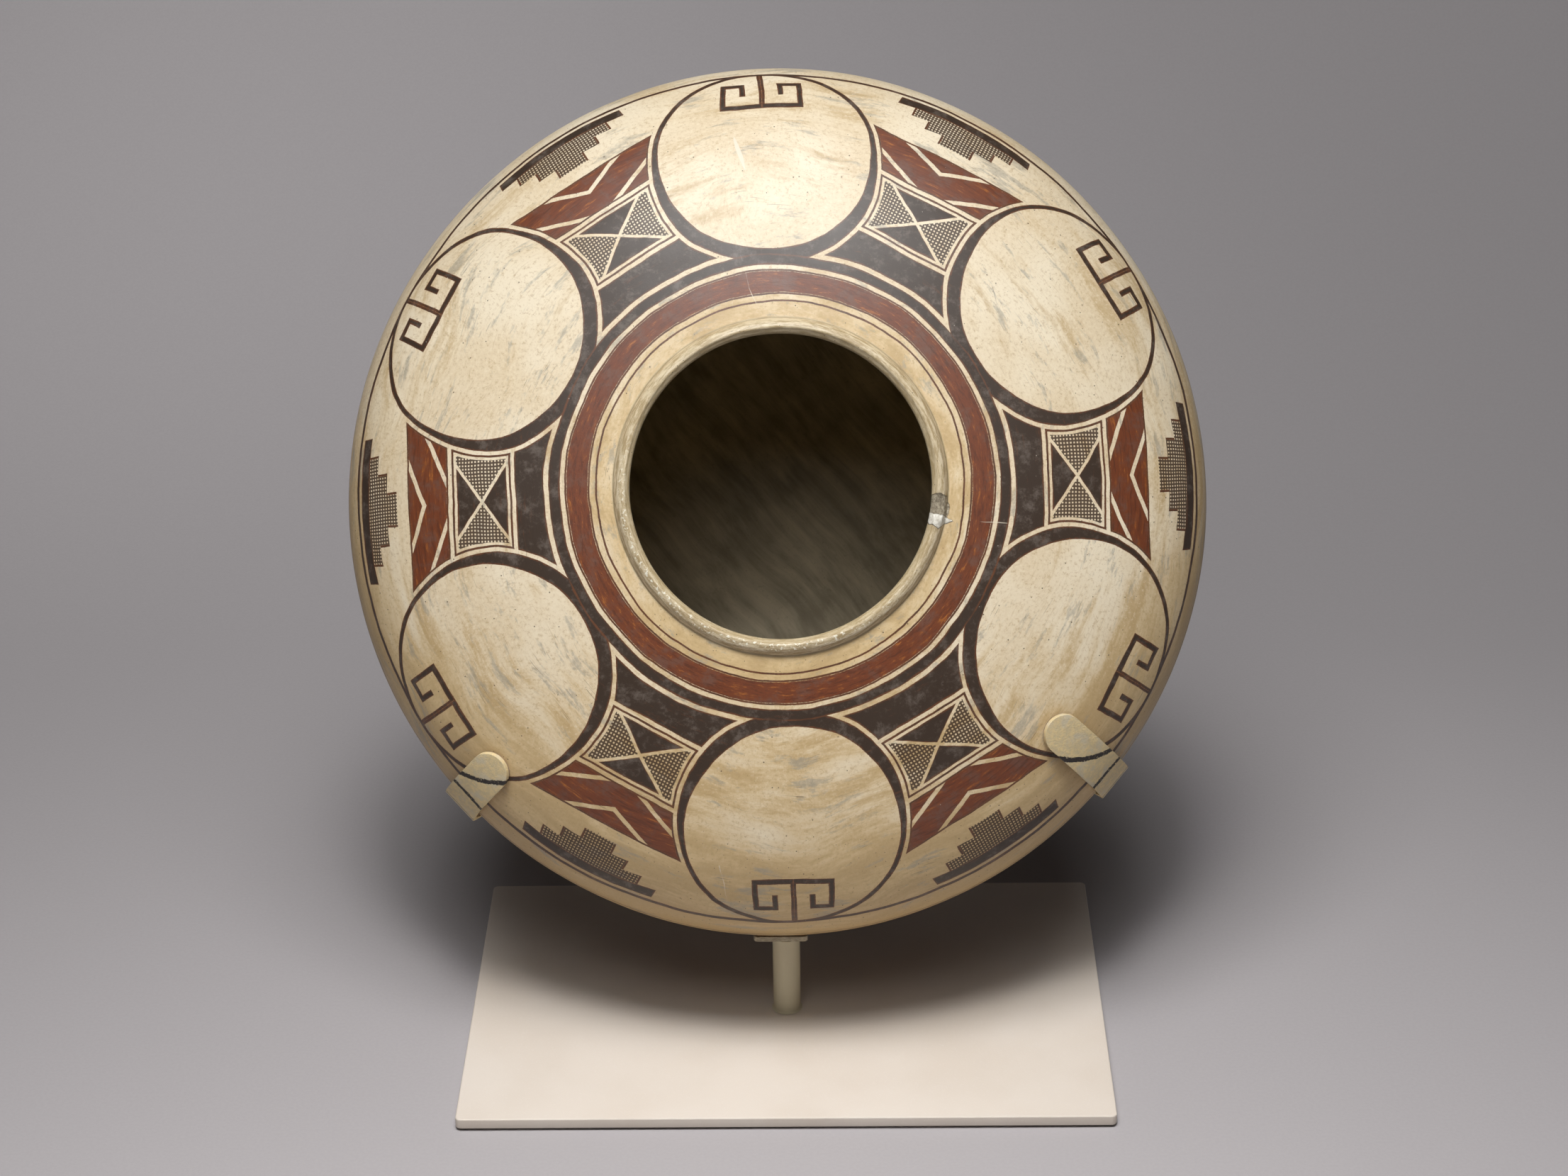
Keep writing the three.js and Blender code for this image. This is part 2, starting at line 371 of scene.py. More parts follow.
    def finish(self, colour: Socket, roughness: Number, **fixed: float) -> bpy.types.Material:
        """Wires the shader up.

        Args:
            colour: The base colour.
            roughness: The roughness.
            fixed: Further values of the shader, by socket name with underscores for spaces.

        Returns:
            The finished material.
        """
        self.wire(self.shader.inputs["Base Color"], colour)
        self.wire(self.shader.inputs["Roughness"], roughness)
        for name, value in fixed.items():
            self.shader.inputs[name.replace("_", " ")].default_value = value
        return self.material


@dataclass(frozen=True)
class JarShape:
    """The jar's form in its own frame: axis towards the mouth, widest circle at height 0."""

    radius: float = 189
    neck_radius: float = 71
    neck_height: float = 70.5
    shoulder_roundness: float = 2.35
    foot_radius: float = 46
    foot_depth: float = 112
    belly_roundness: float = 2
    foot_hollow: float = 1.6
    foot_rim: float = 8
    wall: float = 6
    lip_height: float = 75
    lip_outer_radius: float = 68.3
    lip_inner_radius: float = 63.6
    ovality: float = 1.0135
    mouth_lean: float = 2.9
    axis_rise: float = 29.25

    @staticmethod
    def quarter(radius: float, end: float, height: float, roundness: float, count: int) -> list[Pair]:
        """A quarter of a rounded outline.

        Args:
            radius: Its widest radius.
            end: The radius where it stops.
            height: How far from the widest circle it stops.
            roundness: 2 for an ellipse, more for a squarer turn.
            count: How many steps it has.

        Returns:
            Points of radius and height, from the widest one.
        """
        apex = height / (1 - (end / radius) ** roundness) ** (1 / roundness)
        end_angle = math.acos((end / radius) ** (roundness / 2))
        angles = [end_angle * i / count for i in range(count + 1)]
        return [
            (radius * math.cos(a) ** (2 / roundness), apex * math.sin(a) ** (2 / roundness))
            for a in angles
        ]

    def body_line(self, count: int) -> list[Pair]:
        """The outside as radius and height, from the foot's edge to the neck."""
        belly = self.quarter(self.radius, self.foot_radius, self.foot_depth, self.belly_roundness, count)
        shoulder = self.quarter(
            self.radius, self.neck_radius, self.neck_height, self.shoulder_roundness, count
        )
        return [(r, -h) for r, h in reversed(belly[1:])] + shoulder

    def lip_line(self, steps: int) -> list[Pair]:
        """The lip's section: a groove outside, a round bead, and a bevel to its inner edge.

        Args:
            steps: How many pieces each stretch between two of its points has.

        Returns:
            Points of radius and height, from the neck to the inside.
        """
        outer, inner, top = self.lip_outer_radius, self.lip_inner_radius, self.lip_height
        return smooth_line([
            (outer + 2.4, self.neck_height + 0.02),
            (outer + 2.1, self.neck_height + 0.6),
            (outer + 1.5, top - 2.6),
            (outer + 0.6, top - 1.2),
            (outer - 0.8, top - 0.3),
            (outer - 2.2, top - 0.02),
            (inner + 1.5, top - 0.9),
            (inner + 0.4, top - 2.0),
            (inner + 0.05, top - 3.4),
            (inner + 0.9, top - 5.6),
            (inner + 4, self.neck_height - self.wall + 1.3),
        ], steps)

    def inner_line(self, count: int) -> list[Pair]:
        """The inside, which lies a wall's thickness under the outside.

        Args:
            count: How many steps the belly and the shoulder have.

        Returns:
            Points of radius and height, from under the neck to the floor's middle.
        """
        line = self.body_line(count)
        inside = []
        for i, (r, h) in enumerate(line):
            before = line[max(i - 1, 0)]
            after = line[min(i + 1, len(line) - 1)]
            along = Vector((after[0] - before[0], after[1] - before[1])).normalized()
            inside.append((r - along.y * self.wall, h + along.x * self.wall))
        inside.reverse()
        return inside[1:] + [(0.0, inside[-1][1] - 0.4)]

    def hand_built(self, place: Vector) -> Vector:
        """Moves a point of an ideal round jar to where the hand-built one has it."""
        rise = max(place.z, 0) / self.lip_height
        return Vector((place.x + self.mouth_lean * rise**2, place.y * self.ovality, place.z))


@dataclass
class JarSeat:
    """Where the jar stands in the frame, and the places on its skin."""

    shape: JarShape
    line_count: int = 160

    def __post_init__(self) -> None:
        """Finds the jar's centre from its solid, and lays its outline out by length from the foot."""
        rise = math.radians(self.shape.axis_rise)
        self.across = Vector((1, 0, 0))
        self.upward = Vector((0, math.sin(rise), math.cos(rise)))
        self.axis = Vector((0, -math.cos(rise), math.sin(rise)))
        self.turn = Matrix((self.across, self.upward, self.axis)).transposed()
        spans = self.spans("jar")
        self.centre = self.turn @ Vector((
            sum(spans[0]) / 2, sum(spans[1]) / 2, spans[2][1] - self.shape.lip_height
        ))
        outline = self.shape.body_line(self.line_count)
        self.line = [Vector((0, -self.shape.foot_depth)), *(Vector(point) for point in outline)]
        self.lengths = [0.0]
        for one, other in zip(self.line, self.line[1:]):
            self.lengths.append(self.lengths[-1] + (other - one).length)
        widest = min(i for i, p in enumerate(self.line) if p.y >= 0)
        self.widest_length = self.lengths[widest]
        self.neck_length = self.lengths[-1]

    def spans(self, node: str) -> list[Pair]:
        """How far a solid reaches along the jar's three directions, from the row's origin."""
        points = [vert.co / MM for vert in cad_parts[node].data.vertices]
        reaches = [[p.dot(way) for p in points] for way in (self.across, self.upward, self.axis)]
        return [(min(reach), max(reach)) for reach in reaches]

    def place(self, local: Vector) -> Vector:
        """A point of the jar's frame in the row's frame, in millimetres."""
        return self.centre + self.turn @ local

    def run_of(self, length: float) -> float:
        """A length from the foot as a run from the mouth's axis."""
        return self.shape.neck_radius + self.neck_length - length

    def skin(self, length: float) -> Vector:
        """Radius and height of the skin at a length from the foot."""
        i = min(max(bisect_left(self.lengths, length), 1), len(self.lengths) - 1)
        share = (length - self.lengths[i - 1]) / (self.lengths[i] - self.lengths[i - 1])
        return self.line[i - 1].lerp(self.line[i], share)

    def skin_point(self, length: float, azimuth: float) -> Vector:
        """A point of the skin in the jar's frame, from its length and its azimuth in radians."""
        radius, height = self.skin(length)
        return self.shape.hand_built(
            Vector((radius * math.cos(azimuth), radius * math.sin(azimuth), height))
        )

    def skin_normal(self, length: float, azimuth: float) -> Vector:
        """The outward normal of the skin."""
        turn = 1 / max(self.skin(length).x, 1)
        around = self.skin_point(length, azimuth + turn) - self.skin_point(length, azimuth - turn)
        along = self.skin_point(length + 1, azimuth) - self.skin_point(length - 1, azimuth)
        return around.cross(along).normalized()

    def stations(self, route: Sequence[Pair]) -> list[Station]:
        """Stations along a route on the skin.

        Args:
            route: The lengths and the azimuths that it passes through.

        Returns:
            A point, a direction and a normal for each of them.
        """
        found = []
        for i, (length, azimuth) in enumerate(route):
            before = self.skin_point(*route[max(i - 1, 0)])
            after = self.skin_point(*route[min(i + 1, len(route) - 1)])
            along = (after - before).normalized()
            found.append((self.skin_point(length, azimuth), along, self.skin_normal(length, azimuth)))
        return found


def finished(bm: bmesh.types.BMesh, name: str, stands_for: Sequence[str],
             finishes: Sequence[bpy.types.Material]) -> bpy.types.Object:
    """Turns a mesh in millimetres into a piece of the object.

    Args:
        bm: The mesh, in the row's frame.
        name: The piece's name.
        stands_for: The solids that it replaces.
        finishes: Its materials.

    Returns:
        The piece, riding on the body.
    """
    bmesh.ops.scale(bm, vec=(MM, MM, MM), verts=bm.verts)
    mesh = bpy.data.meshes.new(name)
    for face in bm.faces:
        face.smooth = True
    bm.to_mesh(mesh)
    bm.free()
    for finish in finishes:
        mesh.materials.append(finish)
    piece = bpy.data.objects.new(name, mesh)
    bpy.context.scene.collection.objects.link(piece)
    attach(piece, BODY)
    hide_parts(*stands_for)
    log.info("%s: %d faces", name, len(mesh.polygons))
    return piece


def spin_round(bm: bmesh.types.BMesh, verts: list[bmesh.types.BMVert], steps: int) -> None:
    """Turns a line of points round the upright axis into a skin with its faces outwards.

    Args:
        bm: The mesh.
        verts: The line's points.
        steps: How many steps a full turn has.
    """
    edges = [bm.edges.new(pair) for pair in zip(verts, verts[1:])]
    bmesh.ops.spin(bm, geom=verts + edges, cent=(0, 0, 0), axis=(0, 0, 1), angle=math.tau,
                   steps=steps, use_merge=True)
    bmesh.ops.remove_doubles(bm, verts=bm.verts, dist=1e-4)
    bmesh.ops.recalc_face_normals(bm, faces=bm.faces)


def sharp_edges(bm: bmesh.types.BMesh, degrees: float) -> list[bmesh.types.BMEdge]:
    """The edges whose faces meet at more than an angle."""
    limit = math.radians(degrees)
    return [edge for edge in bm.edges if edge.is_manifold and edge.calc_face_angle(0) > limit]


def ease(bm: bmesh.types.BMesh, edges: list[bmesh.types.BMEdge], reach: float, steps: int,
         clamp: bool = False) -> None:
    """Rounds edges off.

    Args:
        bm: The mesh.
        edges: The edges.
        reach: How far from each edge the rounding starts, in millimetres.
        steps: How many faces it has across.
        clamp: Whether it stays short of the next one.
    """
    bmesh.ops.bevel(bm, geom=edges, offset=reach, segments=steps, profile=0.5, affect="EDGES",
                    clamp_overlap=clamp, material=-1)


def crease(bm: bmesh.types.BMesh, degrees: float) -> None:
    """Keeps the edges sharper than an angle crisp under smooth shading."""
    limit = math.radians(degrees)
    for edge in bm.edges:
        edge.smooth = not (edge.is_manifold and edge.calc_face_angle(0) > limit)


@dataclass(frozen=True)
class RoundelDesign:
    """The painted design: rings round the mouth, open roundels, and filled panels between them.

    Runs and widths are millimetres of skin.
    """

    repeats: int = 6
    turned: float = 2
    fine_line: float = 77.8
    fine_half: float = 0.4
    red_ring: Pair = (81.4, 90.2)
    ring_outline: float = 0.9
    outline_gap: float = 0.1
    black_ring: Pair = (92.9, 97.6)
    panel: Pair = (99.6, 191.0)
    outer_ring: Pair = (192.8, 194.8)
    roundel_run: float = 146.5
    roundel_radius: float = 46.5
    rim_thin: float = 2.3
    rim_thick: float = 6.2
    rim_swell: Pair = (166.5, 107.6)
    reserve: float = 1.7
    overlap: float = 2.5
    waist: Pair = (114.0, 141.0)
    bow_frame: float = 0.95
    bow_inset: float = 2.1
    bow_parting: float = 1.1
    bow_slope: float = 1.4
    red_panel: Pair = (142.8, 162.4)
    red_inset: float = 0.8
    red_frame: float = 0.85
    chevron_slope: float = 0.42
    chevron_pitch: float = 7.0
    hatch_pitch: float = 1.5
    hatch_fade: Pair = (0.62, 0.42)
    outer_from: float = 164.2
    terrace_height: float = 5.6
    terrace_width: float = 33
    terrace_step: float = 8.4
    terrace_black: float = 5.6
    outline: float = 1.0
    frame_line: Pair = (209.6, 210.7)
    fret_bars: tuple[tuple[Pair, Pair], ...] = (
        ((0, 1.3), (170, 193.6)),
        ((0, 18.5), (168.2, 171)),
        ((15.9, 18.5), (168.2, 185.4)),
        ((7.2, 18.5), (182.9, 185.4)),
        ((7.2, 9.8), (176.6, 185.4)),
    )
    drift: Pair = (42, 1.7)

    def by_hand(self, sheet: Sheet, plan: Socket, tremble: Pair) -> Socket:
        """The plan as an unsteady hand has it.

        Args:
            sheet: The finish to add the nodes to.
            plan: Places on the plan, in millimetres.
            tremble: The grain and the reach of the hand's tremble.

        Returns:
            The places at which the design is read.
        """
        drifted = sheet.vector("ADD", plan, sheet.noise_vector(plan, *self.drift))
        return sheet.vector("ADD", drifted, sheet.noise_vector(plan, *tremble))

    def draw(self, sheet: Sheet, plan: Socket) -> tuple[Field, Field, Field]:
        """Lays the design out on the plan.

        Args:
            sheet: The finish to add the nodes to.
            plan: Places on the plan, in millimetres.

        Returns:
            How deep a place lies inside the black and inside the red, in millimetres and negative
            outside, and 1 on the lines of the fine hatching.
        """
        x, y, _ = sheet.split(plan)
        run = sheet.length(plan)
        sector = math.tau / self.repeats
        azimuth = sheet.math("ARCTAN2", y, x) - math.radians(self.turned)
        off_axis = sheet.math("WRAP", azimuth, sector / 2, -sector / 2)
        ahead = run * sheet.math("COSINE", off_axis)
        aside = run * abs(sheet.math("SINE", off_axis))

        black, red = self.rings(run)
        outside = self.roundel(sheet, ahead, aside, sector)
        panel = run.between(*self.panel)
        thick = run.rise(*self.rim_swell)
        rim = thick * (self.rim_thick - self.rim_thin) + self.rim_thin
        black = black.most(outside.least(rim - outside).least(panel + self.overlap))
        inside = (outside - rim - self.reserve).least(panel)
        black = black.most(inside.least(self.waist[0] - self.reserve - ahead))

        bow_black, bow_hatched = self.bow(inside, ahead, aside)
        terrace_black, terrace_hatched = self.terrace(sheet, inside, run, ahead, aside)
        black = black.most(bow_black).most(terrace_black)
        hatched = bow_hatched.most(terrace_hatched)

        red_panel = inside.least(ahead.between(*self.red_panel))
        chevron = sheet.math("PINGPONG", ahead - aside * self.chevron_slope, self.chevron_pitch)
        red = red.most((red_panel - self.red_inset).least(chevron - self.outline))
        black = black.most(red_panel.least(self.red_frame - red_panel))

        black = black.most(self.double_fret(sheet, run, off_axis, sector))
        hatch = self.hatching(sheet, ahead, aside).least(hatched.rise(-0.1, 0.1))
        return black, red, hatch

    def rings(self, run: Field) -> tuple[Field, Field]:
        """The rings round the mouth and the two near the edge.

        Args:
            run: The run of each place.

        Returns:
            How deep a place lies inside the black and inside the red.
        """
        red = run.between(*self.red_ring)
        bordered = run.between(self.red_ring[0] - self.ring_outline, self.red_ring[1] + self.ring_outline)
        black = (self.fine_half - abs(run - self.fine_line)).most(
            bordered.least(-self.outline_gap - red)
        )
        for ring in (self.black_ring, self.outer_ring, self.frame_line):
            black = black.most(run.between(*ring))
        return black, red

    def roundel(self, sheet: Sheet, ahead: Field, aside: Field, sector: float) -> Field:
        """How far a place is outside the nearest roundel.

        Args:
            sheet: The finish to add the nodes to.
            ahead: How far the place is from the mouth's axis along its panel's middle line.
            aside: How far it is from that line.
            sector: The angle from one panel to the next.

        Returns:
            The distance, negative inside.
        """
        middle_ahead = self.roundel_run * math.cos(sector / 2)
        middle_aside = self.roundel_run * math.sin(sector / 2)
        from_middle = sheet.join(ahead - middle_ahead, aside - middle_aside, 0)
        return sheet.length(from_middle) - self.roundel_radius

    def bow(self, inside: Field, ahead: Field, aside: Field) -> tuple[Field, Field]:
        """The framed bow tie of each panel.

        Args:
            inside: How deep a place lies inside the panel.
            ahead: How far it is from the mouth's axis along the panel's middle line.
            aside: How far it is from that line.

        Returns:
            The depths inside the black above and below, and inside the hatching at the sides.
        """
        frame_depth = inside.least(ahead.between(*self.waist))
        tie = abs(ahead - sum(self.waist) / 2) * self.bow_slope - aside
        filling = frame_depth - self.bow_inset
        frame_line = frame_depth.least(self.bow_frame - frame_depth)
        black = frame_line.most(filling.least(tie - self.bow_parting))
        return black, filling.least(-self.bow_parting - tie)

    def terrace(self, sheet: Sheet, inside: Field, run: Field, ahead: Field,
                aside: Field) -> tuple[Field, Field]:
        """The stepped pyramid on each panel's outer edge.

        Args:
            sheet: The finish to add the nodes to.
            inside: How deep a place lies inside the panel.
            run: Its run.
            ahead: How far it is from the mouth's axis along the panel's middle line.
            aside: How far it is from that line.

        Returns:
            The depths inside its black foot and outline, and inside its hatching.
        """
        to_edge = self.panel[1] - run
        step = sheet.math("FLOOR", to_edge / self.terrace_height)
        room = inside.least(ahead - self.outer_from)
        depth = (self.terrace_width - self.terrace_step * step - aside).least(to_edge).least(room)
        line = depth.least(self.outline - depth)
        foot = depth.least(self.terrace_black - to_edge)
        return line.most(foot), (depth - self.outline).least(to_edge - self.terrace_black)

    def double_fret(self, sheet: Sheet, run: Field, off_axis: Field, sector: float) -> Field:
        """Two square hooks on one stem, in the outer part of each roundel.

        Args:
            sheet: The finish to add the nodes to.
            run: The run of a place.
            off_axis: Its angle from its panel's middle line.
            sector: The angle from one panel to the next.

        Returns:
            How deep the place lies inside the hooks.
        """
        from_middle = sector / 2 - abs(off_axis)
        ahead = run * sheet.math("COSINE", from_middle)
        aside = run * sheet.math("SINE", from_middle)
        found = None
        for sideways, outwards in self.fret_bars:
            bar = aside.between(*sideways).least(ahead.between(*outwards))
            found = bar if found is None else found.most(bar)
        return found

    def hatching(self, sheet: Sheet, ahead: Field, aside: Field) -> Field:
        """Crossed fine lines that leave small cream dots.

        Args:
            sheet: The finish to add the nodes to.
            ahead: How far a place is from the mouth's axis along its panel's middle line.
            aside: How far it is from that line.

        Returns:
            1 on a line and 0 on a dot.
        """
        half = self.hatch_pitch / 2
        lines = sheet.math("PINGPONG", ahead, half).least(sheet.math("PINGPONG", aside, half))
        return lines.rise(half * self.hatch_fade[0], half * self.hatch_fade[1])


@dataclass(frozen=True)
class SlipFinish:
    """Burnished cream slip: marks of rubbing round the jar, grey smudges, tan stains, small pits and
    grit. It is warmer round the mouth. Low on the jar and towards its lower edge it is warmer and
    darker, which is painted shade, and near that edge it has ochre streaks of stain and painted
    shade; at the top its pale specks are stronger, which is painted sheen. It ends on the bare belly.

    Each pair of runs is where one of its changes starts and where it is full.
    """

    cream: Colour = (0.735, 0.605, 0.415)
    pale: Colour = (0.83, 0.725, 0.545)
    warm: Colour = (0.655, 0.485, 0.255)
    tan: Colour = (0.46, 0.315, 0.15)
    ochre_stain_and_shade: Colour = (0.50, 0.335, 0.13)
    smudge: Colour = (0.33, 0.305, 0.25)
    hair: Colour = (0.13, 0.09, 0.05)
    belly: Colour = (0.15, 0.088, 0.046)
    belly_pale: Colour = (0.29, 0.185, 0.105)
    belly_run: float = 234
    shaded_edge_runs: Pair = (135, 205)
    neck_runs: Pair = (91, 76)
    ochre_runs: Pair = (184, 214)

    def streak_place(self, sheet: Sheet, plan: Socket, long: float, wide: float) -> Socket:
        """Coordinates in which round blots become marks that run round the jar.

        Args:
            sheet: The finish.
            plan: Places on the plan, in millimetres.
            long: The marks' length in millimetres.
            wide: Their width.

        Returns:
            The coordinates, one unit to a mark.
        """
        run = sheet.length(plan)
        around = sheet.scaled(plan, 150 / long / run.most(1))
        return sheet.vector("ADD", around, sheet.join(0, 0, run / wide))

    def colour(self, sheet: Sheet, plan: Socket) -> tuple[Socket, Field]:
        """The bare slip.

        Args:
            sheet: The finish to add the nodes to.
            plan: Places on the plan, in millimetres.

        Returns:
            The slip's colour, and its height in millimetres.
        """
        wavy = sheet.vector("ADD", plan, sheet.noise_vector(plan, 60, 12))
        run = sheet.length(plan)
        _, upward, _ = sheet.split(plan)
        broad = sheet.noise(plan, 50, 2, 0.55)
        base = sheet.mix(broad.rise(0.38, 0.66), self.cream, self.pale)
        stain = sheet.noise(self.streak_place(sheet, wavy, 55, 11), 1, 4, 0.7)
        # Painted shade: edge and the lower-side term make the slip warmer and darker towards the lower
        # edge and low on the jar; neck is handling round the mouth, and handled holds all three.
        edge = run.rise(*self.shaded_edge_runs) * (upward.rise(120, -60) * 0.75 + 0.15)
        neck = run.rise(*self.neck_runs) * 0.75
        handled = edge + neck + upward.rise(-30, -120) * 0.6
        base = sheet.mix((handled + (stain - 0.5) * 2.2).rise(0, 1), base, self.warm)
        base = sheet.mix((stain + handled * 0.15 - 0.5).rise(0.04, 0.26) * 0.6, base, self.tan)

        # Ochre near the outer edge, except at the top: streaky stain, and painted shade where the skin
        # turns away from the light.
        ochre_stain_and_shade = run.rise(*self.ochre_runs) * upward.rise(150, 10) * (stain + 0.1)
        base = sheet.mix(ochre_stain_and_shade, base, self.ochre_stain_and_shade)

        mottle = sheet.noise(wavy, 1.7, 4, 0.85)
        base = sheet.mix((mottle - 0.5).rise(0.01, 0.17) * 0.55, base, self.tan)
        # Painted sheen: pale specks are strongest where handled is weak, at the top of the jar.
        untouched_and_lit = handled.rise(1, 0.2) * 0.52 + 0.08
        base = sheet.mix((mottle - 0.5).rise(-0.02, -0.17) * untouched_and_lit, base, self.pale)

        patch = sheet.noise(self.streak_place(sheet, wavy, 24, 5.5), 1, 4, 0.7)
        cluster = sheet.noise(plan, 32, 1, 0.5)
        smudge = (patch + (cluster - 0.5) * 0.42).rise(0.565, 0.69)
        base = sheet.mix(smudge * (mottle * 0.9 + 0.12), base, self.smudge)
        rubbed = sheet.noise(self.streak_place(sheet, wavy, 15, 0.8), 1, 3, 0.7)
        base = sheet.mix((rubbed - 0.5).rise(0.06, 0.24) * 0.35, base, self.tan)
        hairs = sheet.noise(self.streak_place(sheet, wavy, 16, 0.42), 1, 1, 0.5)
        base = sheet.mix(hairs.rise(0.70, 0.76) * cluster.rise(0.45, 0.62) * 0.6, base, self.hair)
        pits = sheet.specks(plan, 3.6, 0.34, 0.24)
        base = sheet.mix(pits * 0.9, base, self.hair)
        grit = sheet.specks(plan, 2.2, 0.26, 0.3) * handled.rise(0.35, 0.95)
        base = sheet.mix(grit * 0.75, base, self.hair)

        worn_off = (run + (patch - 0.5) * 16).rise(self.belly_run - 4, self.belly_run + 4)
        clay_tone = (stain * 0.6 + broad * 0.4 + mottle * 0.3).rise(0.52, 0.80)
        clay = sheet.mix(clay_tone, self.belly, self.belly_pale)
        base = sheet.mix(worn_off * 0.96, base, clay)
        height = (rubbed - 0.5) * 0.03 + (mottle - 0.5) * 0.05 - pits * 0.12
        return base, height


@dataclass(frozen=True)
class PaintFinish:
    """The jar's two mineral paints, burnished: the black has lighter grey clouds of painted sheen and
    is rusty where thin, and the red has mauve patches of painted sheen and orange and dark red in
    its strokes.
    """

    black: Colour = (0.048, 0.031, 0.021)
    sheen_grey: Colour = (0.150, 0.120, 0.098)
    rust: Colour = (0.175, 0.062, 0.024)
    red: Colour = (0.165, 0.047, 0.019)
    dark_red: Colour = (0.090, 0.030, 0.016)
    mauve_sheen: Colour = (0.155, 0.076, 0.052)
    orange: Colour = (0.42, 0.145, 0.032)
    hatch: Colour = (0.060, 0.032, 0.018)
    dust: Colour = (0.60, 0.55, 0.46)

    def black_colour(self, sheet: Sheet, plan: Socket, depth: Field, strokes: Socket) -> Socket:
        """The black paint's colour.

        Args:
            sheet: The finish to add the nodes to.
            plan: Places on the plan, in millimetres.
            depth: How deep a place lies inside the black.
            strokes: Coordinates that are stretched along the brush strokes.

        Returns:
            The colour.
        """
        # Lighter grey clouds in the black: painted sheen.
        sheen_clouds = sheet.noise(plan, 10, 5, 0.8)
        colour = sheet.mix(sheen_clouds.rise(0.48, 0.68) * 0.75, self.black, self.sheen_grey)
        worn = sheet.noise(strokes, 1.4, 4, 0.75)
        thin = (depth + (worn - 0.5) * 2.2).rise(0.8, 0.15)
        colour = sheet.mix(thin * 0.7 + worn.rise(0.58, 0.74) * 0.45, colour, self.rust)
        return sheet.mix(sheet.specks(plan, 4.2, 0.26, 0.14) * 0.6, colour, self.dust)

    def red_colour(self, sheet: Sheet, plan: Socket, strokes: Socket) -> Socket:
        """The red paint's colour.

        Args:
            sheet: The finish to add the nodes to.
            plan: Places on the plan, in millimetres.
            strokes: Coordinates that are stretched along the brush strokes.

        Returns:
            The colour.
        """
        # Mauve patches in the red: painted sheen.
        broad = sheet.noise(plan, 11, 4, 0.75)
        colour = sheet.mix(broad.rise(0.47, 0.66) * 0.8, self.red, self.mauve_sheen)
        streak = sheet.noise(strokes, 1, 4, 0.75)
        colour = sheet.mix(streak.rise(0.5, 0.36) * 0.7, colour, self.dark_red)
        colour = sheet.mix(streak.rise(0.55, 0.68) * broad.rise(0.62, 0.4) * 0.85, colour, self.orange)
        return sheet.mix(sheet.specks(plan, 5, 0.24, 0.12) * 0.6, colour, self.dust)


class MarkKind(Enum):
    """What a mark on the skin is."""

    CRACK = "a dark crack"
    SCRATCH = "a pale scratch"
    FLAKE = "a pale flake with pointed ends"


@dataclass(frozen=True)
class Mark:
    """A mark on the jar's skin, from one place to another.

    Each place is a run in millimetres and an azimuth in degrees.
    """

    kind: MarkKind
    start: Pair
    stop: Pair
    half_width: float
    softness: float = 0.12

    @staticmethod
    def flat(place: Pair) -> Vector:
        """The place on the plan."""
        run, azimuth = place[0], math.radians(place[1])
        return Vector((run * math.cos(azimuth), run * math.sin(azimuth), 0))

    def draw(self, sheet: Sheet, plan: Socket) -> Field:
        """Finds the mark on the plan.

        Args:
            sheet: The finish to add the nodes to.
            plan: Places on the plan, in millimetres.

        Returns:
            1 on the mark and 0 off it.
        """
        start, stop = self.flat(self.start), self.flat(self.stop)
        along = stop - start
        from_start = sheet.vector("SUBTRACT", plan, tuple(start))
        share = sheet.dot(from_start, tuple(along / along.length_squared)).most(0).least(1)
        nearest = sheet.scaled(sheet.join(*along), share)
        away = sheet.length(sheet.vector("SUBTRACT", from_start, nearest))
        width = self.half_width
        if self.kind is MarkKind.FLAKE:
            width = share * (1 - share) * (4 * self.half_width)
        return (away - width).rise(self.softness, -self.softness)


